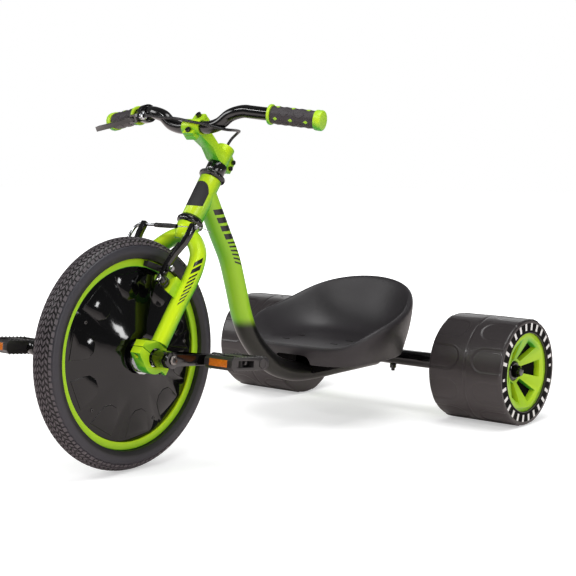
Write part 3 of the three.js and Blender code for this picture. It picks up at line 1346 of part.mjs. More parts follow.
function chassis() {
  const group = new THREE.Group();
  group.add(mesh('frame', frame(), limePaint));
  group.add(mesh('headset_lower_cup', steeringToTrike(lowerCup()), blackSteel));
  group.add(mesh('headset_upper_cup', steeringToTrike(upperCup()), blackSteel));
  group.add(mesh('rear_axle', rearAxle(), blackPaint));
  group.add(mesh('seat_bracket', seatBracket(), blackPaint));
  group.add(mesh('seat_shell', seatShell(), satinPlastic));
  for (const [name, side] of [['left', 1], ['right', -1]]) {
    group.add(mesh(`axle_bolt_${name}`, axleBolt(side), blackSteel));
  }
  return group;
}

function rearWheels() {
  const group = new THREE.Group();
  for (const [name, side] of [['left', 1], ['right', -1]]) {
    const wheel = new THREE.Group();
    const hand = (geometry) => (side > 0 ? geometry : mirroredX(geometry));
    wheel.add(mesh(`rear_tyre_${name}`, hand(rearTyre()), rollerPlastic));
    wheel.add(mesh(`rear_hub_${name}`, hand(rearHub()), limePlastic));
    wheel.add(mesh(`rear_bush_${name}`, hand(rearBush()), blackPaint));
    wheel.add(mesh(`axle_nut_${name}`, hand(axleNut()), blackSteel));
    wheel.position.set((side * rearTrack) / 2, rearAxleY, rearTyreRadius);
    group.add(wheel);
  }
  return group;
}

function driftTrike() {
  const trike = new THREE.Group();
  const frontEnd = new THREE.Group();
  frontEnd.add(frontWheel(), pedalDrive(), steering());
  frontEnd.position.copy(frontHub);
  trike.add(frontEnd, chassis(), rearWheels());
  return trike;
}

export default driftTrike();
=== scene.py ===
"""Looks of a drift trike: smooth forms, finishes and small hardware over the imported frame, in metres."""
import logging
import math
from dataclasses import dataclass
from enum import Enum
from functools import cache
from typing import Callable, Iterable, Optional, Sequence

import bmesh
import bpy
from mathutils import Matrix, Vector


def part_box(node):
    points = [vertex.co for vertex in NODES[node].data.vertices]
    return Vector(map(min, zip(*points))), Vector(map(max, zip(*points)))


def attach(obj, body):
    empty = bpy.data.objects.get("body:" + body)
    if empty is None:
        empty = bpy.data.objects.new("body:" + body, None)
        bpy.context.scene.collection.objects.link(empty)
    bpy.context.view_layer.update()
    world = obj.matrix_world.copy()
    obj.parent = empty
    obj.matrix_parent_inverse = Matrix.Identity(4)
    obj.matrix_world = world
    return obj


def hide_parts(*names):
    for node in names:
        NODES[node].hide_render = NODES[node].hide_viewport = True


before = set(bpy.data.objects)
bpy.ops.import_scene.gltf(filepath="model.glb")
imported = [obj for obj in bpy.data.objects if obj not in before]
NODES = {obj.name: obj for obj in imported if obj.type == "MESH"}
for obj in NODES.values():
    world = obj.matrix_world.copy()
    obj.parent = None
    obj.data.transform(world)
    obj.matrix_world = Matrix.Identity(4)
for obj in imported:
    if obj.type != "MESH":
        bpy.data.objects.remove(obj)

LOG = logging.getLogger("drift_trike")
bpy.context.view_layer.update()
MM = 0.001
TURN = 2 * math.pi
# The front hub's middle and the rear axle's place along Y, in millimetres
HUB = Vector((0.0, -312.9, 194.0))
REAR_AXLE_Y = 404.1

Profile = Sequence[tuple[float, float]]
Mesh = bpy.types.Mesh
Socket = bpy.types.NodeSocket
Tree = bpy.types.NodeTree


class Side(Enum):
    """The rider's left and right, with the sign of X on each."""

    LEFT = 1
    RIGHT = -1

    @property
    def word(self) -> str:
        """The side's name as it stands in the names of pieces."""
        return self.name.lower()

    @property
    def mirror(self) -> Matrix:
        """The matrix that turns +X to this side."""
        return Matrix.Scale(self.value, 4, (1, 0, 0))


# Finishes


def linear(colour: str) -> tuple[float, float, float, float]:
    """Turns an sRGB hex colour to linear light.

    Args:
        colour: The colour as "#rrggbb".

    Returns:
        Red, green, blue and full alpha.
    """
    shares = [int(colour[i:i + 2], 16) / 255 for i in (1, 3, 5)]
    values = [s / 12.92 if s <= 0.04045 else ((s + 0.055) / 1.055) ** 2.4 for s in shares]
    return (*values, 1.0)


def add_node(tree: Tree, kind: str, settings: Optional[dict] = None,
             values: Optional[dict] = None, links: Optional[dict] = None) -> bpy.types.Node:
    """Adds one node to a tree.

    Args:
        tree: The shader or geometry tree.
        kind: The node's type.
        settings: The node's own properties.
        values: Default values of its inputs, by name or number.
        links: Sockets that feed its inputs, by name or number.

    Returns:
        The new node.
    """
    node = tree.nodes.new(kind)
    for key, value in (settings or {}).items():
        setattr(node, key, value)
    for key, value in (values or {}).items():
        node.inputs[key].default_value = value
    for key, socket in (links or {}).items():
        tree.links.new(socket, node.inputs[key])
    return node


def fresh_tree(owner: bpy.types.ID) -> Tree:
    """Switches a material or world to nodes.

    Args:
        owner: The material or world.

    Returns:
        Its empty tree.
    """
    owner.use_nodes = True
    owner.node_tree.nodes.clear()
    return owner.node_tree


def noise(tree: Tree, place: Socket, size: float, detail: float) -> Socket:
    """Adds a soft noise.

    Args:
        tree: The material's tree.
        place: Object coordinates.
        size: The width of its patches in millimetres.
        detail: How many finer layers lie over them.

    Returns:
        The noise's socket.
    """
    return add_node(tree, "ShaderNodeTexNoise", values={"Scale": 1 / (size * MM), "Detail": detail},
                    links={"Vector": place}).outputs["Fac"]


def ramp(tree: Tree, value: Socket, source: tuple[float, float], target: tuple[float, float] = (0.0, 1.0),
         shape: str = "LINEAR") -> Socket:
    """Carries one range of a value over to another and holds it at the ends.

    Args:
        tree: The material's tree.
        value: The socket with the value.
        source: The range that goes in.
        target: The range that comes out.
        shape: How the value runs between the ends.

    Returns:
        The socket with the result.
    """
    ends = {"From Min": source[0], "From Max": source[1], "To Min": target[0], "To Max": target[1]}
    return add_node(tree, "ShaderNodeMapRange", {"interpolation_type": shape}, ends,
                    {"Value": value}).outputs[0]


def mixed(tree: Tree, factor: Socket, first: Socket | tuple, second: Socket | tuple) -> Socket:
    """Mixes two colours.

    Args:
        tree: The material's tree.
        factor: The share of the second colour.
        first: The first colour, as a socket or a value.
        second: The second colour, as a socket or a value.

    Returns:
        The colour socket.
    """
    mix = add_node(tree, "ShaderNodeMix", {"data_type": "RGBA"}, links={"Factor": factor})
    for entry, colour in ((mix.inputs[6], first), (mix.inputs[7], second)):
        if isinstance(colour, Socket):
            tree.links.new(colour, entry)
        else:
            entry.default_value = colour
    return mix.outputs[2]


@dataclass(frozen=True)
class Finish:
    """A surface with a fine relief and a slight cloudiness, both sized in millimetres."""

    name: str
    slot: str
    colour: str
    roughness: float
    metallic: float = 0.0
    coat: float = 0.0
    grain: float = 1.0
    relief: float = 0.02
    cloud: float = 60.0
    shade: float = 0.9
    polish: float = 0.25
    specular: float = 0.5
    glint: str = "#ffffff"
    cloud_detail: float = 3.0
    grain_detail: float = 4.0
    coat_roughness: float = 0.08

    def tint(self, tree: Tree, place: Socket) -> Socket:
        """Builds the base colour.

        Args:
            tree: The material's tree.
            place: Object coordinates.

        Returns:
            The colour socket.
        """
        return self.clouded(tree, place, self.colour)

    def clouded(self, tree: Tree, place: Socket, colour: str) -> Socket:
        """Varies a colour a little over a few centimetres.

        Args:
            tree: The material's tree.
            place: Object coordinates.
            colour: The colour as "#rrggbb".

        Returns:
            The colour socket.
        """
        base = linear(colour)
        low = (*(value * self.shade for value in base[:3]), 1.0)
        return mixed(tree, noise(tree, place, self.cloud, self.cloud_detail), low, base)

    def material(self) -> bpy.types.Material:
        """Returns the finish's material, built on first use."""
        made = bpy.data.materials.get(self.name)
        if made:
            return made
        made = bpy.data.materials.new(self.name)
        tree = fresh_tree(made)
        place = add_node(tree, "ShaderNodeTexCoord").outputs["Object"]
        grain = noise(tree, place, self.grain, self.grain_detail)
        bump = add_node(tree, "ShaderNodeBump", values={"Strength": 1.0, "Distance": self.relief * MM},
                        links={"Height": grain})
        rough = ramp(tree, grain, (0.0, 1.0),
                     (self.roughness * (1 - self.polish), self.roughness * (1 + self.polish)))
        shader = add_node(tree, "ShaderNodeBsdfPrincipled", values={
            "Metallic": self.metallic, "Coat Weight": self.coat, "Coat Roughness": self.coat_roughness,
            "Specular IOR Level": self.specular, "Specular Tint": linear(self.glint)},
            links={"Base Color": self.tint(tree, place), "Roughness": rough, "Normal": bump.outputs[0]})
        add_node(tree, "ShaderNodeOutputMaterial", links={"Surface": shader.outputs[0]})
        return made


@dataclass(frozen=True)
class LimeFinish(Finish):
    """Bright lime with painted shade: a greener lime painted underneath and where the skin turns from view.
    """

    # away is the green of the painted shade; the fields below set where it is painted
    away: str = "#45ab2c"
    shade_tilt_from: float = 0.38
    shade_tilt_to: float = -0.9
    edge_shade_share: float = 0.6
    edge_shade_blend: float = 0.42

    def tint(self, tree: Tree, place: Socket) -> Socket:
        """Paints shade as the greener lime, by the skin's own tilt and by the angle of view.

        Args:
            tree: The material's tree.
            place: Object coordinates.

        Returns:
            The colour socket.
        """
        # Painted shade: greener where the skin faces down and where it turns from view
        facing = add_node(tree, "ShaderNodeLayerWeight", values={"Blend": self.edge_shade_blend})
        skin = add_node(tree, "ShaderNodeTexCoord").outputs["Normal"]
        tilt = add_node(tree, "ShaderNodeSeparateXYZ", links={"Vector": skin})
        under = ramp(tree, tilt.outputs["Z"], (self.shade_tilt_from, self.shade_tilt_to))
        both = add_node(tree, "ShaderNodeMath", {"operation": "MULTIPLY_ADD", "use_clamp": True},
                        {1: self.edge_shade_share}, {0: facing.outputs["Facing"], 2: under})
        return mixed(tree, both.outputs[0], self.clouded(tree, place, self.colour), linear(self.away))


@dataclass(frozen=True)
class FadedFinish(LimeFinish):
    """Paint that passes into a second colour over a band of heights, as sprayed by hand."""

    below: str = "#1b1a1b"
    fade_from: float = 203.0
    fade_to: float = 230.0

    def tint(self, tree: Tree, place: Socket) -> Socket:
        """Mixes the two paints by height, with a soft edge.

        Args:
            tree: The material's tree.
            place: Object coordinates.

        Returns:
            The colour socket.
        """
        split = add_node(tree, "ShaderNodeSeparateXYZ", links={"Vector": place})
        fade = ramp(tree, split.outputs["Z"], (self.fade_from * MM, self.fade_to * MM), shape="SMOOTHERSTEP")
        return mixed(tree, fade, linear(self.below), super().tint(tree, place))


@dataclass(frozen=True)
class BandedFinish(Finish):
    """Rubber of a tyre: near black between the blocks, as painted shade in the grooves, near black by the
    rim, and with a paler ring on the wall.
    """

    # dark is the painted shade in the grooves between the tread blocks
    dark: str = "#0d0c0d"
    bead: str = "#1a1a1b"
    bead_end: float = 166.0
    wall_start: float = 171.0
    wall_end: float = 181.5
    floor_start: float = 184.0

    def tint(self, tree: Tree, place: Socket) -> Socket:
        """Colours the rubber by its distance from the hub's axis.

        Args:
            tree: The material's tree.
            place: Object coordinates.

        Returns:
            The colour socket.
        """
        from_hub = add_node(tree, "ShaderNodeVectorMath", {"operation": "SUBTRACT"},
                            {1: tuple(HUB * MM)}, {0: place})
        flat = add_node(tree, "ShaderNodeVectorMath", {"operation": "MULTIPLY"}, {1: (0.0, 1.0, 1.0)},
                        {0: from_hub.outputs[0]})
        radius = add_node(tree, "ShaderNodeVectorMath", {"operation": "LENGTH"},
                          links={0: flat.outputs[0]}).outputs["Value"]
        inner = ramp(tree, radius, (self.bead_end * MM, self.wall_start * MM))
        # Past floor_start the rubber is painted near black: shade in the grooves between the blocks
        outer = ramp(tree, radius, (self.wall_end * MM, self.floor_start * MM))
        wall = mixed(tree, inner, linear(self.bead), self.clouded(tree, place, self.colour))
        return mixed(tree, outer, wall, linear(self.dark))


# Powder coat: sprayed and baked, so it has a faint orange peel under a clear gloss
# Both limes carry painted shade: greener underneath and towards the outline
LIME_COAT = LimeFinish("lime_powder_coat", "lime_paint", "#c6e21a", 0.3, coat=0.06, grain=1.6, relief=0.02,
                       cloud=120, shade=0.97, specular=0.6, glint="#e6ff6a")
FADED_COAT = FadedFinish("faded_powder_coat", "lime_paint", "#c6e21a", 0.3, coat=0.1, grain=1.6, relief=0.02,
                         cloud=120, shade=0.97, specular=0.45, glint="#fbfff0", below="#100f10")
# Injection-moulded ABS: smooth, with a light flow bloom
LIME_ABS = LimeFinish("lime_moulded_abs", "lime_plastic", "#bfe21c", 0.36, grain=1.2, relief=0.02, cloud=30,
                      shade=0.93, shade_tilt_from=-0.1)
# Enamel on steel tube: glossy, with dust nibs
BLACK_ENAMEL = Finish("black_enamel", "black_paint", "#080708", 0.12, coat=0.6, grain=2.0, relief=0.01,
                      shade=0.8)
# The same enamel where the spray only misted on: flat. It is also the painted shade of the plates under the
# seat's front.
MATT_ENAMEL = Finish("misted_enamel_and_shade", "black_paint", "#070607", 0.75, grain=1.2, relief=0.04, shade=0.8,
                     specular=0.1)
# Polished ABS sheet: a deep mirror that waves slightly over centimetres
BLACK_GLOSS = Finish("polished_black_abs", "gloss_cover", "#050506", 0.07, grain=26.0, relief=0.1, cloud=40,
                     shade=0.7)
# Blow-moulded polyethylene: a satin skin with a fine leather-like grain
SEAT_SKIN = Finish("grained_polyethylene", "seat_plastic", "#2b282b", 0.42, grain=1.6, relief=0.18, cloud=40,
                   shade=0.66, polish=0.3)
# Vulcanised rubber of the blocks: dull, and much paler than the painted shade between them
TREAD_RUBBER = Finish("tread_rubber", "tyre", "#585256", 0.5, grain=1.4, relief=0.08, cloud=9, shade=0.6)
CASING_RUBBER = BandedFinish("casing_rubber", "tyre", "#323138", 0.45, grain=1.4, relief=0.05, cloud=14,
                             shade=0.8)
# Roto-moulded polyethylene roller: a low sheen with faint streaks
ROLLER_SKIN = Finish("roller_polyethylene", "roller_plastic", "#2f2a2b", 0.36, coat=0.2, grain=2.2,
                     relief=0.05, cloud=24, shade=0.82)
# Soft thermoplastic rubber of the grips
GRIP_RUBBER = Finish("thermoplastic_rubber", "grip_rubber", "#3a3538", 0.5, grain=0.9, relief=0.08, cloud=12,
                     shade=0.8)
BRAKE_RUBBER = Finish("brake_rubber", "grip_rubber", "#1b1a1b", 0.75, grain=0.9, relief=0.06, cloud=8,
                      shade=0.8)
CABLE_SLEEVE = Finish("extruded_pvc", "cable_rubber", "#161517", 0.38, grain=1.0, relief=0.03, cloud=10,
                      shade=0.85)
# Nickel-chrome plate: near-mirror steel
CHROME_PLATE = Finish("chrome_plate", "chrome", "#c9cbce", 0.16, metallic=1.0, grain=0.8, relief=0.01,
                      cloud=12, shade=0.9)
# Black-oxide steel fasteners: dark with an oily sheen
BLACK_OXIDE = Finish("black_oxide_steel", "black_steel", "#0e0e0f", 0.14, coat=0.5, grain=0.8, relief=0.02,
                     cloud=9, shade=0.75)
PEDAL_NYLON = Finish("glass_filled_nylon", "pedal_plastic", "#2a2829", 0.36, coat=0.2, grain=1.1, relief=0.1,
                     cloud=16, shade=0.8)
# Amber prismatic acrylic of the pedal reflectors; its deep mottling is painted, standing in for light thrown
# back by the prisms
AMBER_ACRYLIC = Finish("amber_prismatic_acrylic", "amber_lens", "#e07a1c", 0.2, coat=0.5, grain=1.8,
                       relief=0.5, cloud=5, shade=0.35)
# Printed vinyl marks, plain and generic
WHITE_PRINT = Finish("white_pad_print", "roller_plastic", "#e8e8e6", 0.5, grain=1.0, relief=0.02, shade=0.95)
BLACK_VINYL = Finish("black_vinyl_stripe", "black_paint", "#161616", 0.3, coat=0.3, grain=3.0, relief=0.01,
                     shade=0.9)
GREY_VINYL = Finish("grey_vinyl_badge", "black_paint", "#242326", 0.45, grain=3.0, relief=0.01, shade=0.8)
WALL_BAND = Finish("matt_black_band", "roller_plastic", "#080708", 0.7, grain=2.0, relief=0.02, shade=0.85,
                   specular=0.12)
# Zinc-plated steel bolt heads: a dull blueish silver
ZINC_PLATE = Finish("zinc_plate", "chrome", "#9c9894", 0.32, metallic=1.0, grain=0.8, relief=0.02, cloud=6,
                    shade=0.7)


# Frames of reference

LEAN = math.radians(36.5)
# Steering frame, in millimetres at the front hub, to metres in the trike's frame
STEER = Matrix.Scale(MM, 4) @ Matrix.Translation(HUB) @ Matrix.Rotation(-LEAN, 4, "X")
WHOLE = Matrix.Scale(MM, 4)


def centripetal(points: Sequence[Sequence[float]], steps: int) -> list[Vector]:
    """Runs a centripetal Catmull-Rom curve through points.

    Args:
        points: The points on the route.
        steps: Pieces of curve between two points.

    Returns:
        Points along the curve.
    """
    line = [Vector(p) for p in points]
    line = [line[0] * 2 - line[1], *line, line[-1] * 2 - line[-2]]
    out = []
    for i in range(1, len(line) - 2):
        p0, p1, p2, p3 = line[i - 1:i + 3]
        t1 = max((p1 - p0).length, 1e-6) ** 0.5
        t2 = t1 + max((p2 - p1).length, 1e-6) ** 0.5
        t3 = t2 + max((p3 - p2).length, 1e-6) ** 0.5
        for k in range(steps):
            t = t1 + (t2 - t1) * k / steps
            a1 = p0 * ((t1 - t) / t1) + p1 * (t / t1)
            a2 = p1 * ((t2 - t) / (t2 - t1)) + p2 * ((t - t1) / (t2 - t1))
            a3 = p2 * ((t3 - t) / (t3 - t2)) + p3 * ((t - t2) / (t3 - t2))
            b1 = a1 * ((t2 - t) / t2) + a2 * (t / t2)
            b2 = a2 * ((t3 - t) / (t3 - t1)) + a3 * ((t - t1) / (t3 - t1))
            out.append(b1 * ((t2 - t) / (t2 - t1)) + b2 * ((t - t1) / (t2 - t1)))
    out.append(line[-2])
    return out


# Meshes

# Corners nearer than this, in metres, are one corner: in made meshes, and in copies of CAD nodes
WELD = 1e-6
CAD_WELD = 2e-5
# Angles in degrees: faces of a copy that meet at less are one plane, and edges past the other are rounded
FLAT_BELOW = 0.6
ROUND_ABOVE = 33


def mesh_of(name: str, points: Iterable[Sequence[float]], faces: Sequence[Sequence[int]],
            place: Matrix = WHOLE, sharp: float = 35.0) -> Mesh:
    """Makes a mesh with its normals out and its hard edges marked.

    Args:
        name: The mesh's name.
        points: Its corners, in millimetres in the frame that place turns.
        faces: Its faces, as corner numbers.
        place: The matrix to the trike's frame.
        sharp: The angle in degrees past which an edge is hard.

    Returns:
        The mesh, in metres.
    """
    made = bpy.data.meshes.new(name)
    made.from_pydata([tuple(place @ Vector(p)) for p in points], [], [tuple(f) for f in faces])
    return hardened(made, sharp, weld=True)


def hardened(mesh: Mesh, sharp: float, weld: bool = False) -> Mesh:
    """Shades a mesh smooth, apart from edges past an angle.

    Args:
        mesh: The mesh, changed in place.
        sharp: The angle in degrees.
        weld: Whether doubled corners are joined and the faces turned out first.

    Returns:
        The same mesh.
    """
    sheet = bmesh.new()
    sheet.from_mesh(mesh)
    if weld:
        bmesh.ops.remove_doubles(sheet, verts=sheet.verts, dist=WELD)
        bmesh.ops.recalc_face_normals(sheet, faces=sheet.faces)
    for face in sheet.faces:
        face.smooth = True
    for edge in sheet.edges:
        if len(edge.link_faces) == 2:
            edge.smooth = edge.calc_face_angle(0.0) < math.radians(sharp)
    sheet.to_mesh(mesh)
    sheet.free()
    return mesh


def placed(name: str, data: bpy.types.ID) -> bpy.types.Object:
    """Puts a mesh, lamp or camera in the scene.

    Args:
        name: The object's name.
        data: The mesh, lamp or camera.

    Returns:
        The object, at the origin.
    """
    item = bpy.data.objects.new(name, data)
    bpy.context.scene.collection.objects.link(item)
    return item


def skin_faces(rings: int, count: int) -> list[tuple[int, int, int, int]]:
    """Joins closed rings of points into a closed skin, each to the next and the last to the first.

    Args:
        rings: How many rings.
        count: The points in each.

    Returns:
        The faces, as point numbers.
    """
    return [(i * count + j, i * count + (j + 1) % count, (i + 1) % rings * count + (j + 1) % count,
             (i + 1) % rings * count + j) for i in range(rings) for j in range(count)]


def side_faces(count: int, base: int = 0) -> list[tuple[int, int, int, int]]:
    """Joins two rings of points that follow each other.

    Args:
        count: The points in each ring.
        base: The number of the first point.

    Returns:
        The faces between them, as point numbers.
    """
    return [(base + k, base + (k + 1) % count, base + (k + 1) % count + count, base + k + count)
            for k in range(count)]


def turned(name: str, profile: Profile, segments: int, place: Matrix, sharp: float = 35.0) -> Mesh:
    """Turns a closed profile about the X axis of a frame.

    Args:
        name: The mesh's name.
        profile: Pairs of radius and offset, in order round the section.
        segments: Steps round the axis.
        place: The matrix from that frame, in millimetres, to the trike's.
        sharp: The angle in degrees past which an edge is hard.

    Returns:
        The mesh, in metres.
    """
    points = []
    for i in range(segments):
        angle = TURN * i / segments
        points += [(offset, radius * math.cos(angle), radius * math.sin(angle)) for radius, offset in profile]
    return mesh_of(name, points, skin_faces(segments, len(profile)), place, sharp)


def extruded(name: str, outline: Profile, low: float, high: float, place: Matrix) -> Mesh:
    """Extrudes an outline along Z of a frame.

    Args:
        name: The mesh's name.
        outline: Pairs of x and y.
        low: The lower end.
        high: The upper end.
        place: The matrix to the trike's frame.

    Returns:
        The mesh, in metres.
    """
    count = len(outline)
    points = [(x, y, low) for x, y in outline] + [(x, y, high) for x, y in outline]
    faces = [tuple(range(count)), tuple(range(count, 2 * count)), *side_faces(count)]
    return mesh_of(name, points, faces, place)


def rounded(outline: Profile, radius: float, steps: int = 3) -> list[tuple[float, float]]:
    """Rounds the corners of a closed outline or profile.

    Args:
        outline: Pairs of numbers.
        radius: How far from each corner the rounding starts.
        steps: Steps in each corner.

    Returns:
        The new outline.
    """
    out = []
    count, limit = len(outline), 0.45  # the share of an edge that one corner may take
    for i, corner in enumerate(outline):
        here = Vector(corner)
        before, after = Vector(outline[i - 1]) - here, Vector(outline[(i + 1) % count]) - here
        start = here + before.normalized() * min(radius, before.length * limit)
        end = here + after.normalized() * min(radius, after.length * limit)
        for k in range(steps + 1):
            t = k / steps
            out.append(tuple(start * (1 - t) ** 2 + here * (2 * t * (1 - t)) + end * t ** 2))
    return out


def tree_of(name: str, inputs: Sequence[tuple[str, str]]) -> Tree:
    """Starts a geometry tree with a mesh in, a mesh out and named inputs.

    Args:
        name: The tree's name.
        inputs: Pairs of input name and socket type.

    Returns:
        The empty tree.
    """
    tree = bpy.data.node_groups.new(name, "GeometryNodeTree")
    tree.interface.new_socket("Geometry", in_out="INPUT", socket_type="NodeSocketGeometry")
    for label, kind in inputs:
        tree.interface.new_socket(label, in_out="INPUT", socket_type=kind)
    tree.interface.new_socket("Geometry", in_out="OUTPUT", socket_type="NodeSocketGeometry")
    return tree


def close_tree(tree: Tree, shape: Socket, source: bpy.types.Node) -> None:
    """Ends a geometry tree in real, dressed geometry.

    Args:
        tree: The tree.
        shape: The socket with the geometry so far.
        source: The group's input node, with its Finish socket.
    """
    real = add_node(tree, "GeometryNodeRealizeInstances", links={"Geometry": shape})
    dressed = add_node(tree, "GeometryNodeSetMaterial",
                       links={"Geometry": real.outputs[0], "Material": source.outputs["Finish"]})
    add_node(tree, "NodeGroupOutput", links={0: dressed.outputs[0]})


@cache
def ring_tree() -> Tree:
    """Builds the tree that repeats a shape round an axle."""
    tree = tree_of("ring_of_copies", [("Copies", "NodeSocketInt"), ("Step", "NodeSocketFloat"),
                                      ("Centre", "NodeSocketVector"), ("Axle", "NodeSocketVector"),
                                      ("Finish", "NodeSocketMaterial")])
    source = add_node(tree, "NodeGroupInput")
    points = add_node(tree, "GeometryNodePoints",
                      links={"Count": source.outputs["Copies"], "Position": source.outputs["Centre"]})
    index = add_node(tree, "GeometryNodeInputIndex")
    angle = add_node(tree, "ShaderNodeMath", {"operation": "MULTIPLY"},
                     links={0: index.outputs[0], 1: source.outputs["Step"]})
    turn = add_node(tree, "FunctionNodeAxisAngleToRotation",
                    links={"Axis": source.outputs["Axle"], "Angle": angle.outputs[0]})
    back = add_node(tree, "ShaderNodeVectorMath", {"operation": "SCALE"}, {"Scale": -1.0},
                    {0: source.outputs["Centre"]})
    shape = add_node(tree, "GeometryNodeTransform",
                     links={"Geometry": source.outputs["Geometry"], "Translation": back.outputs[0]})
    copies = add_node(tree, "GeometryNodeInstanceOnPoints", links={
        "Points": points.outputs[0], "Instance": shape.outputs[0], "Rotation": turn.outputs[0]})
    close_tree(tree, copies.outputs[0], source)
    return tree


@cache
def row_tree() -> Tree:
    """Builds the tree that repeats a shape in an even row."""
    tree = tree_of("row_of_copies", [("Copies", "NodeSocketInt"), ("Step", "NodeSocketVector"),
                                     ("Finish", "NodeSocketMaterial")])
    source = add_node(tree, "NodeGroupInput")
    line = add_node(tree, "GeometryNodeMeshLine",
                    links={"Count": source.outputs["Copies"], "Offset": source.outputs["Step"]})
    copies = add_node(tree, "GeometryNodeInstanceOnPoints",
                      links={"Points": line.outputs[0], "Instance": source.outputs["Geometry"]})
    close_tree(tree, copies.outputs[0], source)
    return tree


@cache
def tube_tree() -> Tree:
    """Builds the tree that runs a round tube along a line of edges."""
    tree = tree_of("tube_along_line", [("Radius", "NodeSocketFloat"), ("Sides", "NodeSocketInt"),
                                       ("Finish", "NodeSocketMaterial")])
    source = add_node(tree, "NodeGroupInput")
    line = add_node(tree, "GeometryNodeMeshToCurve", links={"Mesh": source.outputs["Geometry"]})
    section = add_node(tree, "GeometryNodeCurvePrimitiveCircle",
                       links={"Resolution": source.outputs["Sides"], "Radius": source.outputs["Radius"]})
    tube = add_node(tree, "GeometryNodeCurveToMesh", values={"Fill Caps": True},
                    links={"Curve": line.outputs[0], "Profile Curve": section.outputs[0]})
    smooth = add_node(tree, "GeometryNodeSetShadeSmooth", links={"Geometry": tube.outputs[0]})
    close_tree(tree, smooth.outputs[0], source)
    return tree


def grown(shape: Mesh, tree: Tree, values: dict) -> Mesh:
    """Runs a geometry tree on a mesh.

    Args:
        shape: The mesh that goes in.
        tree: The tree.
        values: The tree's inputs by name.

    Returns:
        The plain mesh that comes out.
    """
    carrier = placed("carrier", shape)
    modifier = carrier.modifiers.new("tree", "NODES")
    modifier.node_group = tree
    for item in tree.interface.items_tree:
        if item.in_out == "INPUT" and item.name in values:
            modifier[item.identifier] = values[item.name]
    return settled(carrier)


def settled(carrier: bpy.types.Object) -> Mesh:
    """Evaluates an object's modifiers, takes its mesh and removes the object.

    Args:
        carrier: The object.

    Returns:
        The evaluated mesh.
    """
    graph = bpy.context.evaluated_depsgraph_get()
    mesh = bpy.data.meshes.new_from_object(carrier.evaluated_get(graph))
    bpy.data.objects.remove(carrier)
    return mesh


def ring_of(shape: Mesh, copies: int, step: float, centre: Sequence[float], finish: Finish,
            axle: Sequence[float] = (1.0, 0.0, 0.0)) -> Mesh:
    """Repeats a mesh round an axle.

    Args:
        shape: The mesh, in metres.
        copies: How many copies.
        step: The angle between copies in degrees.
        centre: A point on the axle, in metres.
        finish: The finish of the copies.
        axle: The axle's direction.

    Returns:
        The mesh of all copies.
    """
    return grown(shape, ring_tree(), {
        "Copies": copies, "Step": math.radians(step), "Centre": tuple(centre), "Axle": tuple(axle),
        "Finish": finish.material()})


def row_of(shape: Mesh, copies: int, step: Sequence[float], finish: Finish) -> Mesh:
    """Repeats a mesh in a row.

    Args:
        shape: The mesh, in metres.
        copies: How many copies.
        step: The step between copies, in metres.
        finish: The finish of the copies.

    Returns:
        The mesh of all copies.
    """
    return grown(shape, row_tree(), {"Copies": copies, "Step": tuple(step), "Finish": finish.material()})


def tube_of(name: str, line: Sequence[Vector], radius: float, sides: int, place: Matrix,
            finish: Finish) -> Mesh:
    """Runs a round tube along a line.

    Args:
        name: The mesh's name.
        line: Points along the middle, in millimetres in the frame that place turns.
        radius: The tube's radius in millimetres.
        sides: Steps round the tube.
        place: The matrix to the trike's frame.
        finish: The tube's finish.

    Returns:
        The mesh, in metres.
    """
    made = bpy.data.meshes.new(name)
    made.from_pydata([tuple(place @ p) for p in line], [(i, i + 1) for i in range(len(line) - 1)], [])
    tube = grown(made, tube_tree(), {"Radius": radius * MM, "Sides": sides, "Finish": finish.material()})
    return hardened(tube, 50)


def cad_copy(node: str, bevel: float = 0.5, keep: Optional[Callable[[Vector], bool]] = None) -> Mesh:
    """Copies a CAD node's mesh, joins its corners and rounds its hard edges.

    Args:
        node: The node's name.
        bevel: The width of the rounding in millimetres.
        keep: A test of a face's middle, in metres, that says whether the face stays.

    Returns:
        The new mesh.
    """
    sheet = bmesh.new()
    sheet.from_mesh(NODES[node].data)
    bmesh.ops.remove_doubles(sheet, verts=sheet.verts, dist=CAD_WELD)
    if keep:
        gone = [face for face in sheet.faces if not keep(face.calc_center_median())]
        bmesh.ops.delete(sheet, geom=gone, context="FACES")
    bmesh.ops.dissolve_limit(sheet, angle_limit=math.radians(FLAT_BELOW), verts=sheet.verts,
                             edges=sheet.edges)
    for face in sheet.faces:
        face.smooth = True
    made = bpy.data.meshes.new(node)
    sheet.to_mesh(made)
    sheet.free()
    carrier = placed("carrier", made)
    edge = carrier.modifiers.new("edge", "BEVEL")
    edge.width = bevel * MM
    edge.segments = 2
    edge.limit_method = "ANGLE"
    edge.angle_limit = math.radians(ROUND_ABOVE)
    edge.harden_normals = True
    edge.use_clamp_overlap = True
    return settled(carrier)


def bolt_head(name: str, radius: float, height: float, place: Matrix) -> Mesh:
    """Makes a socket head with a six-sided recess, its seat on the frame's YZ plane and its top on +X.

    Args:
        name: The mesh's name.
        radius: The head's radius.
        height: The head's height.
        place: The matrix to the trike's frame.

    Returns:
        The mesh, in metres.
    """
    sides = 24
    rows = [(radius, 0), (radius, height * 0.85), (radius * 0.88, height), (radius * 0.55, height),
            (radius * 0.5, height * 0.45), (0, height * 0.45), (0, 0)]
    points = []
    for i in range(sides):
        angle = TURN * i / sides
        hexed = math.cos(math.pi / 6) / math.cos((angle + math.pi / 6) % (math.pi / 3) - math.pi / 6)
        for k, (r, x) in enumerate(rows):
            size = r * hexed if k in (3, 4) else r
            points.append((x, size * math.cos(angle), size * math.sin(angle)))
    count = len(rows)
    faces = [(i * count + j, i * count + (j + 1) % count, ((i + 1) % sides) * count + (j + 1) % count,
              ((i + 1) % sides) * count + j) for i in range(sides) for j in range(count - 1)]
    return mesh_of(name, points, faces, place, 25)


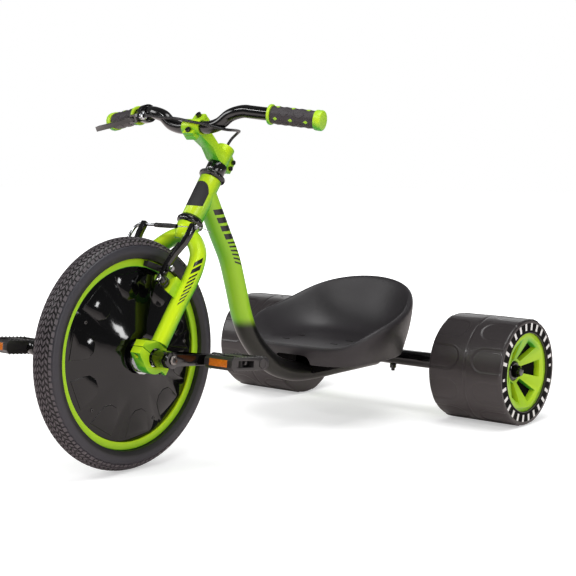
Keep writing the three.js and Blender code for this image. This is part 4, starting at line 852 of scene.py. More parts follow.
def add_piece(name: str, shapes: Sequence[Mesh], finish: Finish, body: str,
              stands_for: Sequence[str] = ()) -> bpy.types.Object:
    """Puts a finished piece on a body.

    Args:
        name: The piece's name.
        shapes: Its meshes.
        finish: Its finish.
        body: The CAD body it rides on.
        stands_for: CAD nodes it replaces.

    Returns:
        The piece.
    """
    pieces = []
    for shape in shapes:
        shape.materials.clear()
        shape.materials.append(finish.material())
        for face in shape.polygons:
            face.material_index = 0
        pieces.append(placed(name, shape))
    piece = pieces[0]
    if len(pieces) > 1:
        with bpy.context.temp_override(active_object=piece, object=piece, selected_objects=pieces,
                                       selected_editable_objects=pieces):
            bpy.ops.object.join()
    piece.name = name
    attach(piece, body)
    if stands_for:
        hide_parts(*stands_for)
    LOG.info("%s: %d faces on %s", name, len(piece.data.polygons), body)
    return piece


def dress(nodes: Iterable[str], finish: Finish) -> None:
    """Gives CAD nodes that keep their shape a finish.

    Args:
        nodes: The nodes' names.
        finish: The finish.
    """
    for name in nodes:
        NODES[name].data.materials.clear()
        NODES[name].data.materials.append(finish.material())
        LOG.info("%s: CAD node dressed", name)


def outer_face(node: str, side: Side) -> float:
    """The place along X of a node's outermost face.

    Args:
        node: The node's name.
        side: The side that it is on.

    Returns:
        The place in millimetres.
    """
    low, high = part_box(node)
    return (high if side is Side.LEFT else low)[0] / MM


def steered_middle(node: str) -> Vector:
    """The middle of a node's box, in the steering frame."""
    low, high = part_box(node)
    return STEER.inverted() @ ((Vector(low) + Vector(high)) / 2)


def rounded_copies(nodes: Iterable[str], finish: Finish, body: str, bevel: float = 0.5) -> None:
    """Replaces CAD nodes with copies that have rounded edges.

    Args:
        nodes: The nodes' names.
        finish: Their finish.
        body: The body they ride on.
        bevel: The width of the rounding in millimetres.
    """
    for name in nodes:
        add_piece(f"{name}_finished", [cad_copy(name, bevel)], finish, body, [name])


# Camera and light


@dataclass
class Studio:
    """The camera that took the picture, and a plain soft studio round the trike."""

    camera_place: tuple[float, float, float] = (1.62937, -1.8899, 0.56179)
    camera_aim: tuple[float, float, float] = (0.02651, 0.0757, 0.27073)
    lens: float = 86.19
    sensor: float = 36.0
    floor_half: float = 9.0
    shadow_reach: float = 1.6
    floor_lift: float = 0.42
    floor_shade: tuple[float, float, float, float] = (0.8, 0.8, 0.8, 1.0)
    light_level: float = 0.5
    mirror_level: float = 0.1
    lamp_aim: tuple[float, float, float] = (0.0, 0.0, 0.25)
    white: tuple[float, float, float, float] = (1.0, 1.0, 1.0, 1.0)
    floor_warmth: tuple[float, float, float, float] = (0.93, 0.84, 0.82, 1.0)

    def build(self) -> None:
        """Makes the camera, the floor, the world and the lamps."""
        self.camera()
        self.floor()
        self.world()
        self.lamp("key", (0.7, -0.1, 3.2), (2.0, 2.0), 52)
        self.lamp("fill", (2.8, -1.2, 1.2), (1.2, 1.2), 20)
        self.lamp("rim", (-2.6, -1.7, 1.7), (1.2, 1.2), 18)
        self.lamp("strip", (-0.5, -2.3, 2.4), (2.4, 0.14), 24)
        self.lamp("back", (-1.6, 3.4, 1.5), (3.4, 1.4), 17)
        self.lamp("window", (1.93, 0.67, 0.53), (0.16, 0.26), 2, False)
        bpy.context.scene.view_settings.view_transform = "Standard"

    def camera(self) -> None:
        """Makes the camera."""
        data = bpy.data.cameras.new("camera")
        data.lens = self.lens
        data.sensor_width = self.sensor
        camera = placed("camera", data)
        camera.location = self.camera_place
        sight = Vector(self.camera_aim) - Vector(self.camera_place)
        camera.rotation_euler = sight.to_track_quat("-Z", "Y").to_euler()
        bpy.context.scene.camera = camera

    def floor(self) -> None:
        """Makes the pale floor, which stays white to the camera and keeps the shadow."""
        half = self.floor_half
        data = bpy.data.meshes.new("floor")
        corners = [(x * half, y * half, 0) for x, y in ((-1, -1), (1, -1), (1, 1), (-1, 1))]
        data.from_pydata(corners, [], [(0, 1, 2, 3)])
        floor = placed("floor", data)
        made = bpy.data.materials.new("studio_floor")
        tree = fresh_tree(made)
        matte, warm = (add_node(tree, "ShaderNodeBsdfDiffuse", values={"Color": colour})
                       for colour in (self.floor_shade, self.floor_warmth))
        place = add_node(tree, "ShaderNodeTexCoord").outputs["Object"]
        reach = add_node(tree, "ShaderNodeVectorMath", {"operation": "LENGTH"}, links={0: place})
        far = ramp(tree, reach.outputs["Value"], (self.shadow_reach / 2, self.shadow_reach),
                   (self.floor_lift, 1.0), "SMOOTHSTEP")
        glow = add_node(tree, "ShaderNodeEmission", values={"Color": self.white}, links={"Strength": far})
        path = add_node(tree, "ShaderNodeLightPath")
        both = add_node(tree, "ShaderNodeAddShader", links={0: matte.outputs[0], 1: glow.outputs[0]})
        mix = add_node(tree, "ShaderNodeMixShader",
                       links={0: path.outputs["Is Camera Ray"], 1: warm.outputs[0], 2: both.outputs[0]})
        add_node(tree, "ShaderNodeOutputMaterial", links={"Surface": mix.outputs[0]})
        data.materials.append(made)

    def world(self) -> None:
        """Makes the world: white to the camera, soft as light and dim in mirrors, as a dark studio is."""
        world = bpy.data.worlds.new("studio")
        bpy.context.scene.world = world
        tree = fresh_tree(world)
        path = add_node(tree, "ShaderNodeLightPath")
        shown = add_node(tree, "ShaderNodeMath", {"operation": "MAXIMUM"},
                         links={0: path.outputs["Is Camera Ray"], 1: path.outputs["Is Transmission Ray"]})
        soft, dim, white = (
            add_node(tree, "ShaderNodeBackground", values={"Color": self.white, "Strength": level})
            for level in (self.light_level, self.mirror_level, 1.0))
        light = add_node(tree, "ShaderNodeMixShader",
                         links={0: path.outputs["Is Glossy Ray"], 1: soft.outputs[0], 2: dim.outputs[0]})
        mix = add_node(tree, "ShaderNodeMixShader",
                       links={0: shown.outputs[0], 1: light.outputs[0], 2: white.outputs[0]})
        add_node(tree, "ShaderNodeOutputWorld", links={"Surface": mix.outputs[0]})

    def lamp(self, name: str, place: tuple[float, float, float], sides: tuple[float, float], power: float,
             wide: bool = True) -> None:
        """Adds a soft box aimed at the trike.

        Args:
            name: The lamp's name.
            place: Where it stands.
            sides: Its width and height in metres.
            power: Its power in watts.
            wide: Whether it lights the room as well as showing in glossy skins.
        """
        data = bpy.data.lights.new(name, "AREA")
        data.shape = "RECTANGLE"
        data.size, data.size_y = sides
        data.energy = power
        lamp = placed(name, data)
        lamp.location = place
        lamp.visible_diffuse = wide
        lamp.rotation_euler = (Vector(self.lamp_aim) - Vector(place)).to_track_quat("-Z", "Y").to_euler()


# Front wheel


@dataclass
class FrontWheel:
    """The driven wheel: tyre with its tread, painted rim, hub and two moulded covers."""

    outer: float = 194.0
    section: float = 23.5
    tread_depth: float = 1.5
    bead: float = 158.8
    bead_half: float = 11.0
    wall: float = 3.6
    units: int = 58
    rim_outer: float = 158.5
    rim_depth: float = 13.2
    rim_half: float = 12.0
    rim_lip: float = 3.0
    rim_well: float = 7.0
    segments: int = 180
    block_long: float = 0.34
    block_gap: float = 0.3
    block_drift: float = 0.45
    screw_seat: float = 13.6
    screw_ring: float = 122.0
    screw_turn: float = 4.0
    screws_each: int = 5

    # The outer blocks' corners, as share along the pitch and distance from the crown in millimetres
    SHOULDER = [[(0.0, 19.4), (0.44, 19.8), (0.5, 25.6), (0.06, 25.2)],
                [(0.56, 20.2), (0.9, 20.6), (0.92, 24.8), (0.62, 24.4)]]
    # The inner rows: distance from the crown, width, and the first block's place and lean along the pitch
    ROWS = [(13.9, 4.6, 0.1, 0.22), (9.1, 4.0, 0.42, -0.2), (4.6, 3.8, 0.66, 0.22), (0.5, 3.4, 0.92, -0.18)]

    def place(self) -> Matrix:
        """The matrix from the wheel's own frame."""
        return WHOLE @ Matrix.Translation(HUB)

    def build(self) -> None:
        """Builds and dresses the wheel."""
        add_piece("front_tyre_casing", [self.carcass()], CASING_RUBBER, "front_wheel", ["front_tyre"])
        add_piece("front_tyre_tread", [self.tread(1), self.tread(-1)], TREAD_RUBBER, "front_wheel")
        add_piece("front_rim_painted", [self.rim()], LIME_COAT, "front_wheel", ["front_rim"])
        dress(["front_hub_shell"], CHROME_PLATE)
        for side in Side:
            name = f"wheel_cover_{side.word}"
            add_piece(f"{name}_polished", [cad_copy(name, 1.5)], BLACK_GLOSS, "front_wheel", [name])
            add_piece(f"cover_screws_{side.word}", [self.screws(side)], BLACK_OXIDE, "front_wheel")

    def carcass(self) -> Mesh:
        """The tyre without its tread: a round casing with two fine ribs on each wall."""
        centre = self.outer - self.section
        limit = math.acos((self.bead - centre) / self.section)
        steps = 72
        outside = []
        for i in range(steps + 1):
            angle = -limit + 2 * limit * i / steps
            turn = abs(math.degrees(angle))
            lowered = self.tread_depth if turn < 62 else self.tread_depth * max(0.0, 1 - (turn - 62) / 5)
            rib = 0.45 * sum(math.exp(-((turn - at) / 1.5) ** 2) for at in (72, 99))
            radius = self.section - lowered - 0.5 + rib
            outside.append((centre + radius * math.cos(angle), radius * math.sin(angle)))
        inner = self.section - self.wall
        inside = [(centre + inner * math.cos(a), inner * math.sin(a))
                  for a in (math.pi / 2 - math.pi * k / 12 for k in range(13))]
        profile = [(self.bead, -self.bead_half), *outside, (self.bead, self.bead_half),
                   (self.bead, self.bead_half - self.wall), *inside, (self.bead, self.wall - self.bead_half)]
        return turned("carcass", profile, self.segments, self.place())

    def tread(self, hand: int) -> Mesh:
        """One side's rows of slanted blocks.

        Args:
            hand: +1 for the rider's left, -1 for the right.

        Returns:
            The mesh of the blocks all round.
        """
        pitch = TURN * self.outer / self.units
        shapes = list(self.SHOULDER)
        for low, wide, shift, lean in self.ROWS:
            drift = math.copysign(self.block_drift, lean)
            near, far = low + self.block_gap, low + wide
            for start in (shift, shift + 0.5):
                end = start + self.block_long
                shapes.append([(start, near - drift), (end, near + drift), (end + lean, far + drift),
                               (start + lean, far - drift)])
        points, faces = [], []
        for shape in shapes:
            base = len(points)
            middle = Vector((sum(s for s, _ in shape) / 4, sum(t for _, t in shape) / 4))
            for lift, inset in ((-0.6, 1.0), (self.tread_depth, 0.9)):
                for share, across in shape:
                    s = middle.x + (share - middle.x) * inset
                    t = middle.y + (across - middle.y) * inset
                    points.append(self.on_tyre(s * pitch, t, lift, hand))
            faces += [tuple(base + k for k in range(4)), tuple(base + 4 + k for k in range(4))]
            faces += side_faces(4, base)
        unit = mesh_of("tread_unit", points, faces, self.place(), 20)
        return ring_of(unit, self.units, 360 / self.units, self.place().translation, TREAD_RUBBER)

    def on_tyre(self, along: float, across: float, lift: float, hand: int) -> tuple[float, float, float]:
        """A point over the casing's skin.

        Args:
            along: Distance round the tyre at its crown.
            across: Distance from the crown over the skin.
            lift: Height over the casing.
            hand: +1 or -1 for the side.

        Returns:
            The point in the wheel's frame.
        """
        around = hand * along / self.outer
        tilt = across / self.section
        reach = self.section - self.tread_depth - 0.02 + lift
        radius = self.outer - self.section + reach * math.cos(tilt)
        return (hand * reach * math.sin(tilt), radius * math.cos(around), radius * math.sin(around))

    def rim(self) -> Mesh:
        """The rim, with rounded walls and the tyre's well."""
        inner, outer, half = self.rim_outer - self.rim_depth, self.rim_outer, self.rim_half
        lip, floor = half - self.rim_lip, outer - self.rim_well
        profile = rounded([(inner, -half), (inner, half), (outer, half), (outer, lip), (floor, lip),
                           (floor, -lip), (outer, -lip), (outer, -half)], 1.4, 3)
        return turned("rim", profile, self.segments, self.place())

    def screws(self, side: Side) -> Mesh:
        """The small screws that hold one cover to the spokes.

        Args:
            side: The cover's side.

        Returns:
            The mesh of the screws.
        """
        place = self.place() @ side.mirror @ Matrix.Translation((self.screw_seat, 0, 0))
        place = place @ Matrix.Rotation(math.radians(self.screw_turn), 4, "X")
        place = place @ Matrix.Translation((0, self.screw_ring, 0))
        head = bolt_head("screw", 3.0, 1.6, place)
        return ring_of(head, self.screws_each, 360 / self.screws_each, self.place().translation, BLACK_OXIDE)


# Fork, headset, stem and handlebar


@dataclass
class FrontEnd:
    """Everything that turns with the handlebar, apart from the wheel and the brake."""

    leg_radius: float = 14.3
    leg_offset: float = 60.0
    bow: float = 2.0
    crown: float = 233.0
    clamp_radius: float = 27.0
    bar_radius: float = 11.1
    bar_height: float = 399.0
    reach: float = 86.0
    rise: float = 23.0
    forward: float = 11.0
    clamp_half: float = 19.5
    grip_start: float = 152.0
    grip_length: float = 93.0
    grip_sweep: float = 26.0
    grip_climb: float = 5.5
    grip_radius: float = 15.5
    flange_radius: float = 17.3
    collar: float = 5.0
    diamond_columns: int = 3
    diamond_rows: int = 4
    diamond_margin: float = 11.5
    diamond_step: float = 27.5
    diamond_start: float = 57.0
    clamp_bolt_out: float = 56.5
    clamp_bolt_apart: float = 31.5
    clamp_bolt_seat: float = -9.0

    # Half the length and height of a lozenge, and how far it stands over the sleeve
    DIAMOND = (4.6, 3.3, 0.5)
    FRAME = (10.5, 7.6, 0.3)

    def build(self) -> None:
        """Builds and dresses the front end."""
        arch = self.arch()
        add_piece("fork_legs", [tube_of("fork_legs", arch, self.leg_radius, 40, STEER, LIME_COAT)], LIME_COAT,
                  "steering", ["fork"])
        add_piece("fork_fittings", [self.fittings(arch)], LIME_COAT, "steering")
        add_piece("fork_stripes", [self.stripes(arch, side) for side in Side], BLACK_VINYL, "steering")
        for side in Side:
            rounded_copies([f"hub_clamp_cap_{side.word}"], LIME_COAT, "steering", 1.2)
            rounded_copies([f"hub_bearing_{side.word}"], CHROME_PLATE, "steering", 0.5)
            rounded_copies([f"bar_end_plug_{side.word}"], LIME_ABS, "steering", 1.0)
            add_piece(f"clamp_bolts_{side.word}", self.clamp_bolts(side), BLACK_OXIDE, "steering")
            grip = f"grip_{side.word}"
            add_piece(f"{grip}_sleeve", [self.grip(side), *self.frames(side)], GRIP_RUBBER, "steering",
                      [grip])
            add_piece(f"{grip}_collar", [self.grip_collar(side)], LIME_ABS, "steering")
            add_piece(f"{grip}_diamonds", self.diamonds(side), LIME_ABS, "steering")
        rounded_copies(["stem", "stem_faceplate"], LIME_COAT, "steering", 0.9)
        rounded_copies(["headset_locknut"], BLACK_OXIDE, "steering", 0.6)
        rounded_copies(["headset_lower_cup", "headset_upper_cup"], BLACK_OXIDE, "chassis", 0.8)
        dress([f"{part}_bolt_{end}" for part in ("faceplate", "stem_pinch") for end in ("upper", "lower")],
              BLACK_OXIDE)
        tube = tube_of("handlebar", self.bar(), self.bar_radius, 32, STEER, BLACK_ENAMEL)
        add_piece("handlebar_tube", [tube], BLACK_ENAMEL, "steering", ["handlebar"])

    def arch(self) -> list[Vector]:
        """The middle of the bent tube that makes both legs."""
        top, x = self.crown, self.leg_offset
        half = [(x, self.clamp_radius - 3), (x, top * 0.25), (x, top * 0.45), (x + self.bow, top * 0.61),
                (x, top * 0.74), (x * 0.87, top * 0.85), (x * 0.62, top * 0.93), (x * 0.32, top * 0.985)]
        left = [(a, 0, b) for a, b in half]
        right = [(-a, 0, b) for a, b in reversed(half)]
        return centripetal([*left, (0, 0, top), *right], 8)

    def fittings(self, arch: list[Vector]) -> Mesh:
        """The clamps, brake bosses, collar and steerer, without the bent tube.

        Args:
            arch: The middle of the bent tube.

        Returns:
            The mesh.
        """
        back = STEER.inverted()

        def apart(place: Vector) -> bool:
            """Whether a face isn't the tube's skin."""
            point = back @ place
            near = min((point - p).length for p in arch)
            skin = near <= self.leg_radius * 1.04 and abs(point.y) <= self.leg_radius
            return point.z < self.clamp_radius or not skin

        return cad_copy("fork", 0.9, apart)

    def stripes(self, arch: list[Vector], side: Side) -> Mesh:
        """Plain slanted stripes down the outside of a leg.

        Args:
            arch: The middle of the bent tube.
            side: The leg's side.

        Returns:
            The mesh of the stripes.
        """
        line = arch if side is Side.LEFT else list(reversed(arch))
        bars = [(150 - 13 * i, 141 - 13 * i, -62, -12) for i in range(2)]
        bars += [(122 - 8 * i, 118 - 8 * i, -58 + 2 * i, -18) for i in range(7)]
        return wrapped("fork_stripes", line, self.leg_radius, bars, side.value, 14, STEER)

    def clamp_bolts(self, side: Side) -> list[Mesh]:
        """The two bolts under one hub clamp.

        Args:
            side: The clamp's side.

        Returns:
            The meshes of the heads.
        """
        turn = Matrix.Rotation(math.radians(90), 4, "Y")
        spots = [(side.value * self.clamp_bolt_out, y, self.clamp_bolt_seat)
                 for y in (-self.clamp_bolt_apart, self.clamp_bolt_apart)]
        return [bolt_head("clamp_bolt", 4.1, 4.0, STEER @ Matrix.Translation(spot) @ turn) for spot in spots]

    def grip_line(self, hand: int) -> tuple[Vector, Vector]:
        """Finds where a grip starts on the bar's middle and which way it runs.

        Args:
            hand: +1 for the rider's left, -1 for the right.

        Returns:
            The start and the unit direction, in the steering frame.
        """
        run = Vector((hand * self.grip_length, self.grip_sweep, self.grip_climb)).normalized()
        root = Vector((hand * self.grip_start, -self.reach + self.bar_radius * 0.25,
                       self.bar_height + self.rise + self.grip_climb))
        return root, run

    def grip_place(self, side: Side) -> Matrix:
        """The frame of a grip: X runs out along the bar from the grip's inner end.

        Args:
            side: The grip's side.

        Returns:
            The matrix to the trike's frame.
        """
        root, run = self.grip_line(side.value)
        turn = Vector((1, 0, 0)).rotation_difference(run).to_matrix().to_4x4()
        return STEER @ Matrix.Translation(root) @ turn

    def bar(self) -> list[Vector]:
        """The middle of the handlebar."""
        end = self.clamp_half + 3
        halves = []
        for s in (1, -1):
            root, run = self.grip_line(s)
            half = [(s * x, -self.reach, self.bar_height) for x in (end, end + self.bar_radius)]
            half += [(s * self.grip_start * a, -self.reach - self.forward * b,
                      self.bar_height + self.rise * c)
                     for a, b, c in ((0.37, 0.23, 0.24), (0.5, 0.77, 0.76), (0.618, 1, 0.98))]
            half += [tuple(root + run * (t * self.grip_length)) for t in (-0.49, -0.36, 0.3, 1)]
            halves.append(half)
        return centripetal([*reversed(halves[0]), (0, -self.reach, self.bar_height), *halves[1]], 7)

    def columns(self) -> list[float]:
        """The distances of the rings of diamonds from a grip's inner end."""
        first = self.collar + self.diamond_margin
        return [first + i * self.diamond_step for i in range(self.diamond_columns)]

    def grip(self, side: Side) -> Mesh:
        """A grip's dark sleeve, which swells a little between its ends.

        Args:
            side: The grip's side.

        Returns:
            The mesh.
        """
        hole, r, end = self.bar_radius + 0.3, self.grip_radius - 0.3, self.grip_length - 9.3
        rows = [(self.collar, r - 1.2), (self.collar + 2.5, r - 0.4)]
        for at in self.columns():
            rows += [(at - 6.5, r - 0.7), (at, r), (at + 6.5, r - 0.7)]
        profile = [(hole, self.collar), *[(radius, x) for x, radius in rows], (r - 0.4, end - 2.5),
                   (r - 1.4, end), (hole, end)]
        return turned("grip", profile, 64, self.grip_place(side), 60)

    def grip_collar(self, side: Side) -> Mesh:
        """The lime flange at a grip's inner end.

        Args:
            side: The grip's side.

        Returns:
            The mesh.
        """
        hole, rim = self.bar_radius + 0.3, self.flange_radius
        profile = rounded([(hole, 0), (rim, 0), (rim, self.collar), (hole, self.collar)], 1.6, 4)
        return turned("grip_collar", profile, 64, self.grip_place(side))

    def diamonds(self, side: Side) -> list[Mesh]:
        """The lime diamonds let into a grip, each in a raised dark frame.

        Args:
            side: The grip's side.

        Returns:
            The meshes, one ring of diamonds each.
        """
        return [self.lozenges(side, at, *self.DIAMOND, 0.0, LIME_ABS) for at in self.columns()]

    def frames(self, side: Side) -> list[Mesh]:
        """The raised dark lozenges that frame the diamonds.

        Args:
            side: The grip's side.

        Returns:
            The meshes, one ring of lozenges each.
        """
        rings = []
        for i, at in enumerate(self.columns()):
            rings.append(self.lozenges(side, at, *self.FRAME, 0.0, GRIP_RUBBER))
            if i:
                rings.append(self.lozenges(side, at - self.diamond_step / 2, *self.FRAME, 0.5, GRIP_RUBBER))
        return rings

    def lozenges(self, side: Side, at: float, long: float, high: float, lift: float, share: float,
                 finish: Finish) -> Mesh:
        """A ring of lozenges on a grip.

        Args:
            side: The grip's side.
            at: Their distance from the grip's inner end.
            long: Half their length along the bar.
            high: Half their height round it.
            lift: How far they stand over the sleeve.
            share: Where the ring starts, as a share of the step round it.
            finish: Their finish.

        Returns:
            The mesh.
        """
        place = self.grip_place(side)
        axle = (place.to_3x3() @ Vector((1, 0, 0))).normalized()
        r, step = self.grip_radius - 0.3, TURN / self.diamond_rows
        start = math.radians(self.diamond_start) + share * step
        corners = [(at - long, 0), (at, -high / r), (at + long, 0), (at, high / r)]
        points = []
        for height, inset in ((-0.8, 1.0), (lift, 0.88)):
            for x, a in corners:
                turn, out = start + a * inset, r + height
                points.append((at + (x - at) * inset, out * math.cos(turn), out * math.sin(turn)))
        points.append((at, (r + lift) * math.cos(start), (r + lift) * math.sin(start)))
        faces = [(0, 1, 2, 3), *[(4 + k, 4 + (k + 1) % 4, 8) for k in range(4)], *side_faces(4)]
        shape = mesh_of("lozenge", points, faces, place)
        return ring_of(shape, self.diamond_rows, math.degrees(step), place.translation, finish, axle)


def wrapped(name: str, line: Sequence[Vector], radius: float,
            bars: Sequence[tuple[float, float, float, float]], hand: int, slant: float,
            place: Matrix) -> Mesh:
    """Lays slanted stripes on a tube's skin.

    Args:
        name: The mesh's name.
        line: Points along the tube's middle, in millimetres.
        radius: The tube's radius.
        bars: Each stripe's start and end along the line and its two angles round the tube in degrees.
        hand: +1 where the angles are measured towards +X first, -1 for the mirrored side.
        slant: How far a stripe leans along the tube between its two edges.
        place: The matrix to the trike's frame.

    Returns:
        The mesh of thin closed stripes.
    """
    lengths = [0.0]
    for a, b in zip(line, line[1:]):
        lengths.append(lengths[-1] + (b - a).length)

    def skin(along: float, angle: float, lift: float) -> tuple[float, float, float]:
        """A point on the tube's skin."""
        i = max(k for k in range(len(line) - 1) if lengths[k] <= max(along, 0.0))
        share = (along - lengths[i]) / max(lengths[i + 1] - lengths[i], 1e-6)
        middle = line[i].lerp(line[i + 1], share)
        run = (line[i + 1] - line[i]).normalized()
        across = Vector((1, 0, 0)) - run * run.x
        across.normalize()
        ahead = run.cross(across)
        turn = math.radians(angle)
        way = across * (hand * math.cos(turn)) + ahead * math.sin(turn)
        return tuple(middle + way * (radius + lift))

    points, faces = [], []
    rows = 10
    for start, end, low, high in bars:
        base = len(points)
        for k in range(rows + 1):
            share = k / rows
            angle = low + (high - low) * share
            for lift in (-0.3, 0.22):  # from inside the skin to just over it
                points.append(skin(start + slant * share, angle, lift))
                points.append(skin(end + slant * share, angle, lift))
        for k in range(rows):
            a, b = base + 4 * k, base + 4 * (k + 1)
            faces += [(a + 2, a + 3, b + 3, b + 2), (a, b, b + 1, a + 1), (a, a + 2, b + 2, b),
                      (a + 1, b + 1, b + 3, a + 3)]
        top = base + 4 * rows
        faces += [(base, base + 1, base + 3, base + 2), (top, top + 2, top + 3, top + 1)]
    return mesh_of(name, points, faces, place)


# Brake


@dataclass
class Brake:
    """The hand lever, its cable and the two arms with their pads."""

    cable_radius: float = 2.5
    lever_droop: float = 52.7
    lever_setback: float = 25.0
    body_half: float = 13.0
    barrel_length: float = 14.0
    barrel_reach: float = 22.0
    pivot_across: float = 43.0
    pivot_height: float = 120.5
    wire_radius: float = 0.8
    boot_radius: float = 4.2
    boot_bore: float = 3.2
    boot_length: float = 46.0
    nut_radius: float = 4.6
    nut_height: float = 3.0

    # The cable's route in the steering frame, in millimetres, after its straight start at the lever
    ROUTE = [(-62, -107.5, 404.2), (-38, -102.5, 406), (-2, -104.3, 399), (16, -104.6, 395.7),
             (31, -103.2, 394), (48, -101.3, 391.5), (61, -95, 391.5), (68, -88, 394), (69, -76, 401),
             (63, -60.3, 412), (44, -32.6, 431.2), (24, -11, 445), (11, -2, 447), (3, 0, 438), (0, 0, 422),
             (0, 0, 400), (0, 0, 370), (0, 0, 320), (0, 0, 270), (0, 0, 234), (-2, 0, 221), (-9, 2, 210),
             (-20, 5, 202), (-33, -2, 193), (-43, -15, 186), (-52, -27, 177), (-62, -35, 170),
             (-72, -40.5, 171), (-77.3, -42.8, 185.2), (-77.3, -42.8, 195.2)]
    # The loose end of the wire, from its clamp
    TAIL = [(-3, -0.5, 0), (3, 1, 0.4), (10, 4.5, 0.8), (17, 9, 0.4), (21, 12.5, -0.6)]

    def build(self) -> None:
        """Builds and dresses the brake."""
        rounded_copies(["brake_lever_perch"], BLACK_ENAMEL, "steering", 0.8)
        rounded_copies(["brake_lever_blade"], BLACK_ENAMEL, "brake_lever", 1.2)
        for side in Side:
            arm = f"brake_arm_{side.word}"
            rounded_copies([arm], BLACK_ENAMEL, arm, 2.0)
            rounded_copies([f"brake_pad_{side.word}"], BRAKE_RUBBER, arm, 0.6)
            rounded_copies([f"brake_pivot_bolt_{side.word}"], CHROME_PLATE, "steering", 0.6)
        rounded_copies(["brake_noodle"], CHROME_PLATE, "brake_arm_right", 0.3)
        add_piece("brake_wire_clamped", self.wire(), CHROME_PLATE, "brake_arm_left", ["brake_boot_and_wire"])
        add_piece("brake_boot", [self.boot()], CABLE_SLEEVE, "brake_arm_right")
        add_piece("brake_cable_sleeve", [self.cable()], CABLE_SLEEVE, "steering", ["brake_cable"])
        add_piece("lever_adjuster", [self.adjuster()], CHROME_PLATE, "steering")
        add_piece("brake_wire_tail", [self.tail()], CHROME_PLATE, "brake_arm_left")
        for side in Side:
            add_piece(f"brake_spring_{side.word}", [self.spring(side)], BLACK_OXIDE, "steering")
            add_piece(f"pad_nut_{side.word}", [self.pad_nut(side)], CHROME_PLATE, f"brake_arm_{side.word}")

    def lever_frame(self) -> Matrix:
        """The frame of the lever's body: X out along the bar, Y towards the fingers."""
        root, run = FrontEnd().grip_line(Side.RIGHT.value)
        droop = math.radians(self.lever_droop)
        reach = Vector((0, -math.cos(droop), -math.sin(droop)))
        reach = (reach - run * reach.dot(run)).normalized()
        up = run.cross(reach)
        spot = root - run * self.lever_setback
        turn = Matrix((run, reach, up)).transposed().to_4x4()
        return STEER @ Matrix.Translation(spot) @ turn

    def adjuster(self) -> Mesh:
        """The knurled barrel between the lever's body and the cable."""
        start, end = -self.body_half, -self.body_half - self.barrel_length
        profile = [(0.01, start - 0.3), (5.2, start - 0.3), (5.2, start - 3), (6.3, start - 3.6)]
        for k in range(3):
            at = start - 4.2 - 2.4 * k
            profile += [(6.3, at), (5.9, at - 0.5), (5.9, at - 1.1), (6.3, at - 1.6)]
        profile += [(6.3, end + 2.2), (4.4, end + 1.4), (4.4, end), (0.01, end)]
        place = self.lever_frame() @ Matrix.Translation((0, self.barrel_reach, 0))
        return turned("adjuster", profile, 32, place, 25)

    def cable(self) -> Mesh:
        """The brake cable, smooth along its whole route."""
        frame_back = STEER.inverted() @ self.lever_frame()
        start = [frame_back @ Vector((-x, self.barrel_reach, 0)) for x in (27.3, 34.8)]
        route = [*start, *[Vector(p) for p in self.ROUTE]]
        return tube_of("brake_cable", centripetal(route, 8), self.cable_radius, 16, STEER, CABLE_SLEEVE)

    def wire_place(self) -> Matrix:
        """The frame of the bare wire, with X along it and its start at the steering plane."""
        middle = steered_middle("brake_boot_and_wire")
        return STEER @ Matrix.Translation((0, middle.y, middle.z))

    def wire(self) -> list[Mesh]:
        """The bare wire from inside the boot to the left arm, and the nut that clamps it there."""
        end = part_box("brake_boot_and_wire")[1][0] / MM
        place = self.wire_place()
        run = [(0.01, 5), (self.wire_radius, 5), (self.wire_radius, end - 1), (0.01, end - 1)]
        nut = [(0.01, end - self.nut_height), (self.nut_radius, end - self.nut_height),
               (self.nut_radius, end - 0.6), (self.nut_radius - 0.6, end), (0.01, end)]
        return [turned("wire", run, 10, place), turned("wire_nut", nut, 6, place, 20)]

    def boot(self) -> Mesh:
        """The ribbed rubber boot: a sleeve pushed over the noodle's nose, loose round the wire."""
        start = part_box("brake_boot_and_wire")[0][0] / MM - 4.0
        out, bore, end = self.boot_radius, self.boot_bore, start + 4.3 + self.boot_length
        profile = [(bore, end), (3.3, start + 5), (3.3, start), (out - 0.4, start), (out, start + 1)]
        for k in range(4):
            at = start + 10 + 3.2 * k
            profile += [(out, at), (out - 0.7, at + 0.8), (out - 0.7, at + 1.6), (out, at + 2.4)]
        profile += [(out, end - 14), (out - 0.7, end - 6), (bore + 0.5, end)]
        return turned("boot", profile, 28, self.wire_place())

    def tail(self) -> Mesh:
        """The loose end of the brake wire past its clamp on the left arm."""
        low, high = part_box("brake_boot_and_wire")
        start = STEER.inverted() @ Vector((high[0], (low[1] + high[1]) / 2, (low[2] + high[2]) / 2))
        line = [start + Vector(p) for p in self.TAIL]
        return tube_of("wire_tail", centripetal(line, 4), 0.7, 8, STEER, CHROME_PLATE)

    def spring(self, side: Side) -> Mesh:
        """The housing of an arm's return spring, round its post.

        Args:
            side: The arm's side.

        Returns:
            The mesh.
        """
        place = STEER @ Matrix.Translation((side.value * self.pivot_across, 0, self.pivot_height))
        place = place @ Matrix.Rotation(math.radians(-90), 4, "Z")
        profile = rounded([(8.1, 20.0), (9.3, 20.0), (9.3, 30.5), (10.4, 31.5), (10.4, 37.6), (8.1, 37.6)],
                          0.6, 2)
        return turned("spring_housing", profile, 40, place)

    def pad_nut(self, side: Side) -> Mesh:
        """The hexagonal nut that holds a pad's post on its arm.

        Args:
            side: The arm's side.

        Returns:
            The mesh.
        """
        node = f"brake_pad_{side.word}"
        middle = steered_middle(node)
        place = STEER @ Matrix.Translation((outer_face(node, side), middle.y, middle.z)) @ side.mirror
        profile = [(0.01, -4.0), (5.4, -4.0), (5.4, 0.2), (4.6, 0.9), (3.2, 0.9), (3.2, 2.6), (0.01, 2.6)]
        return turned("pad_nut", profile, 6, place, 20)


# Pedal drive


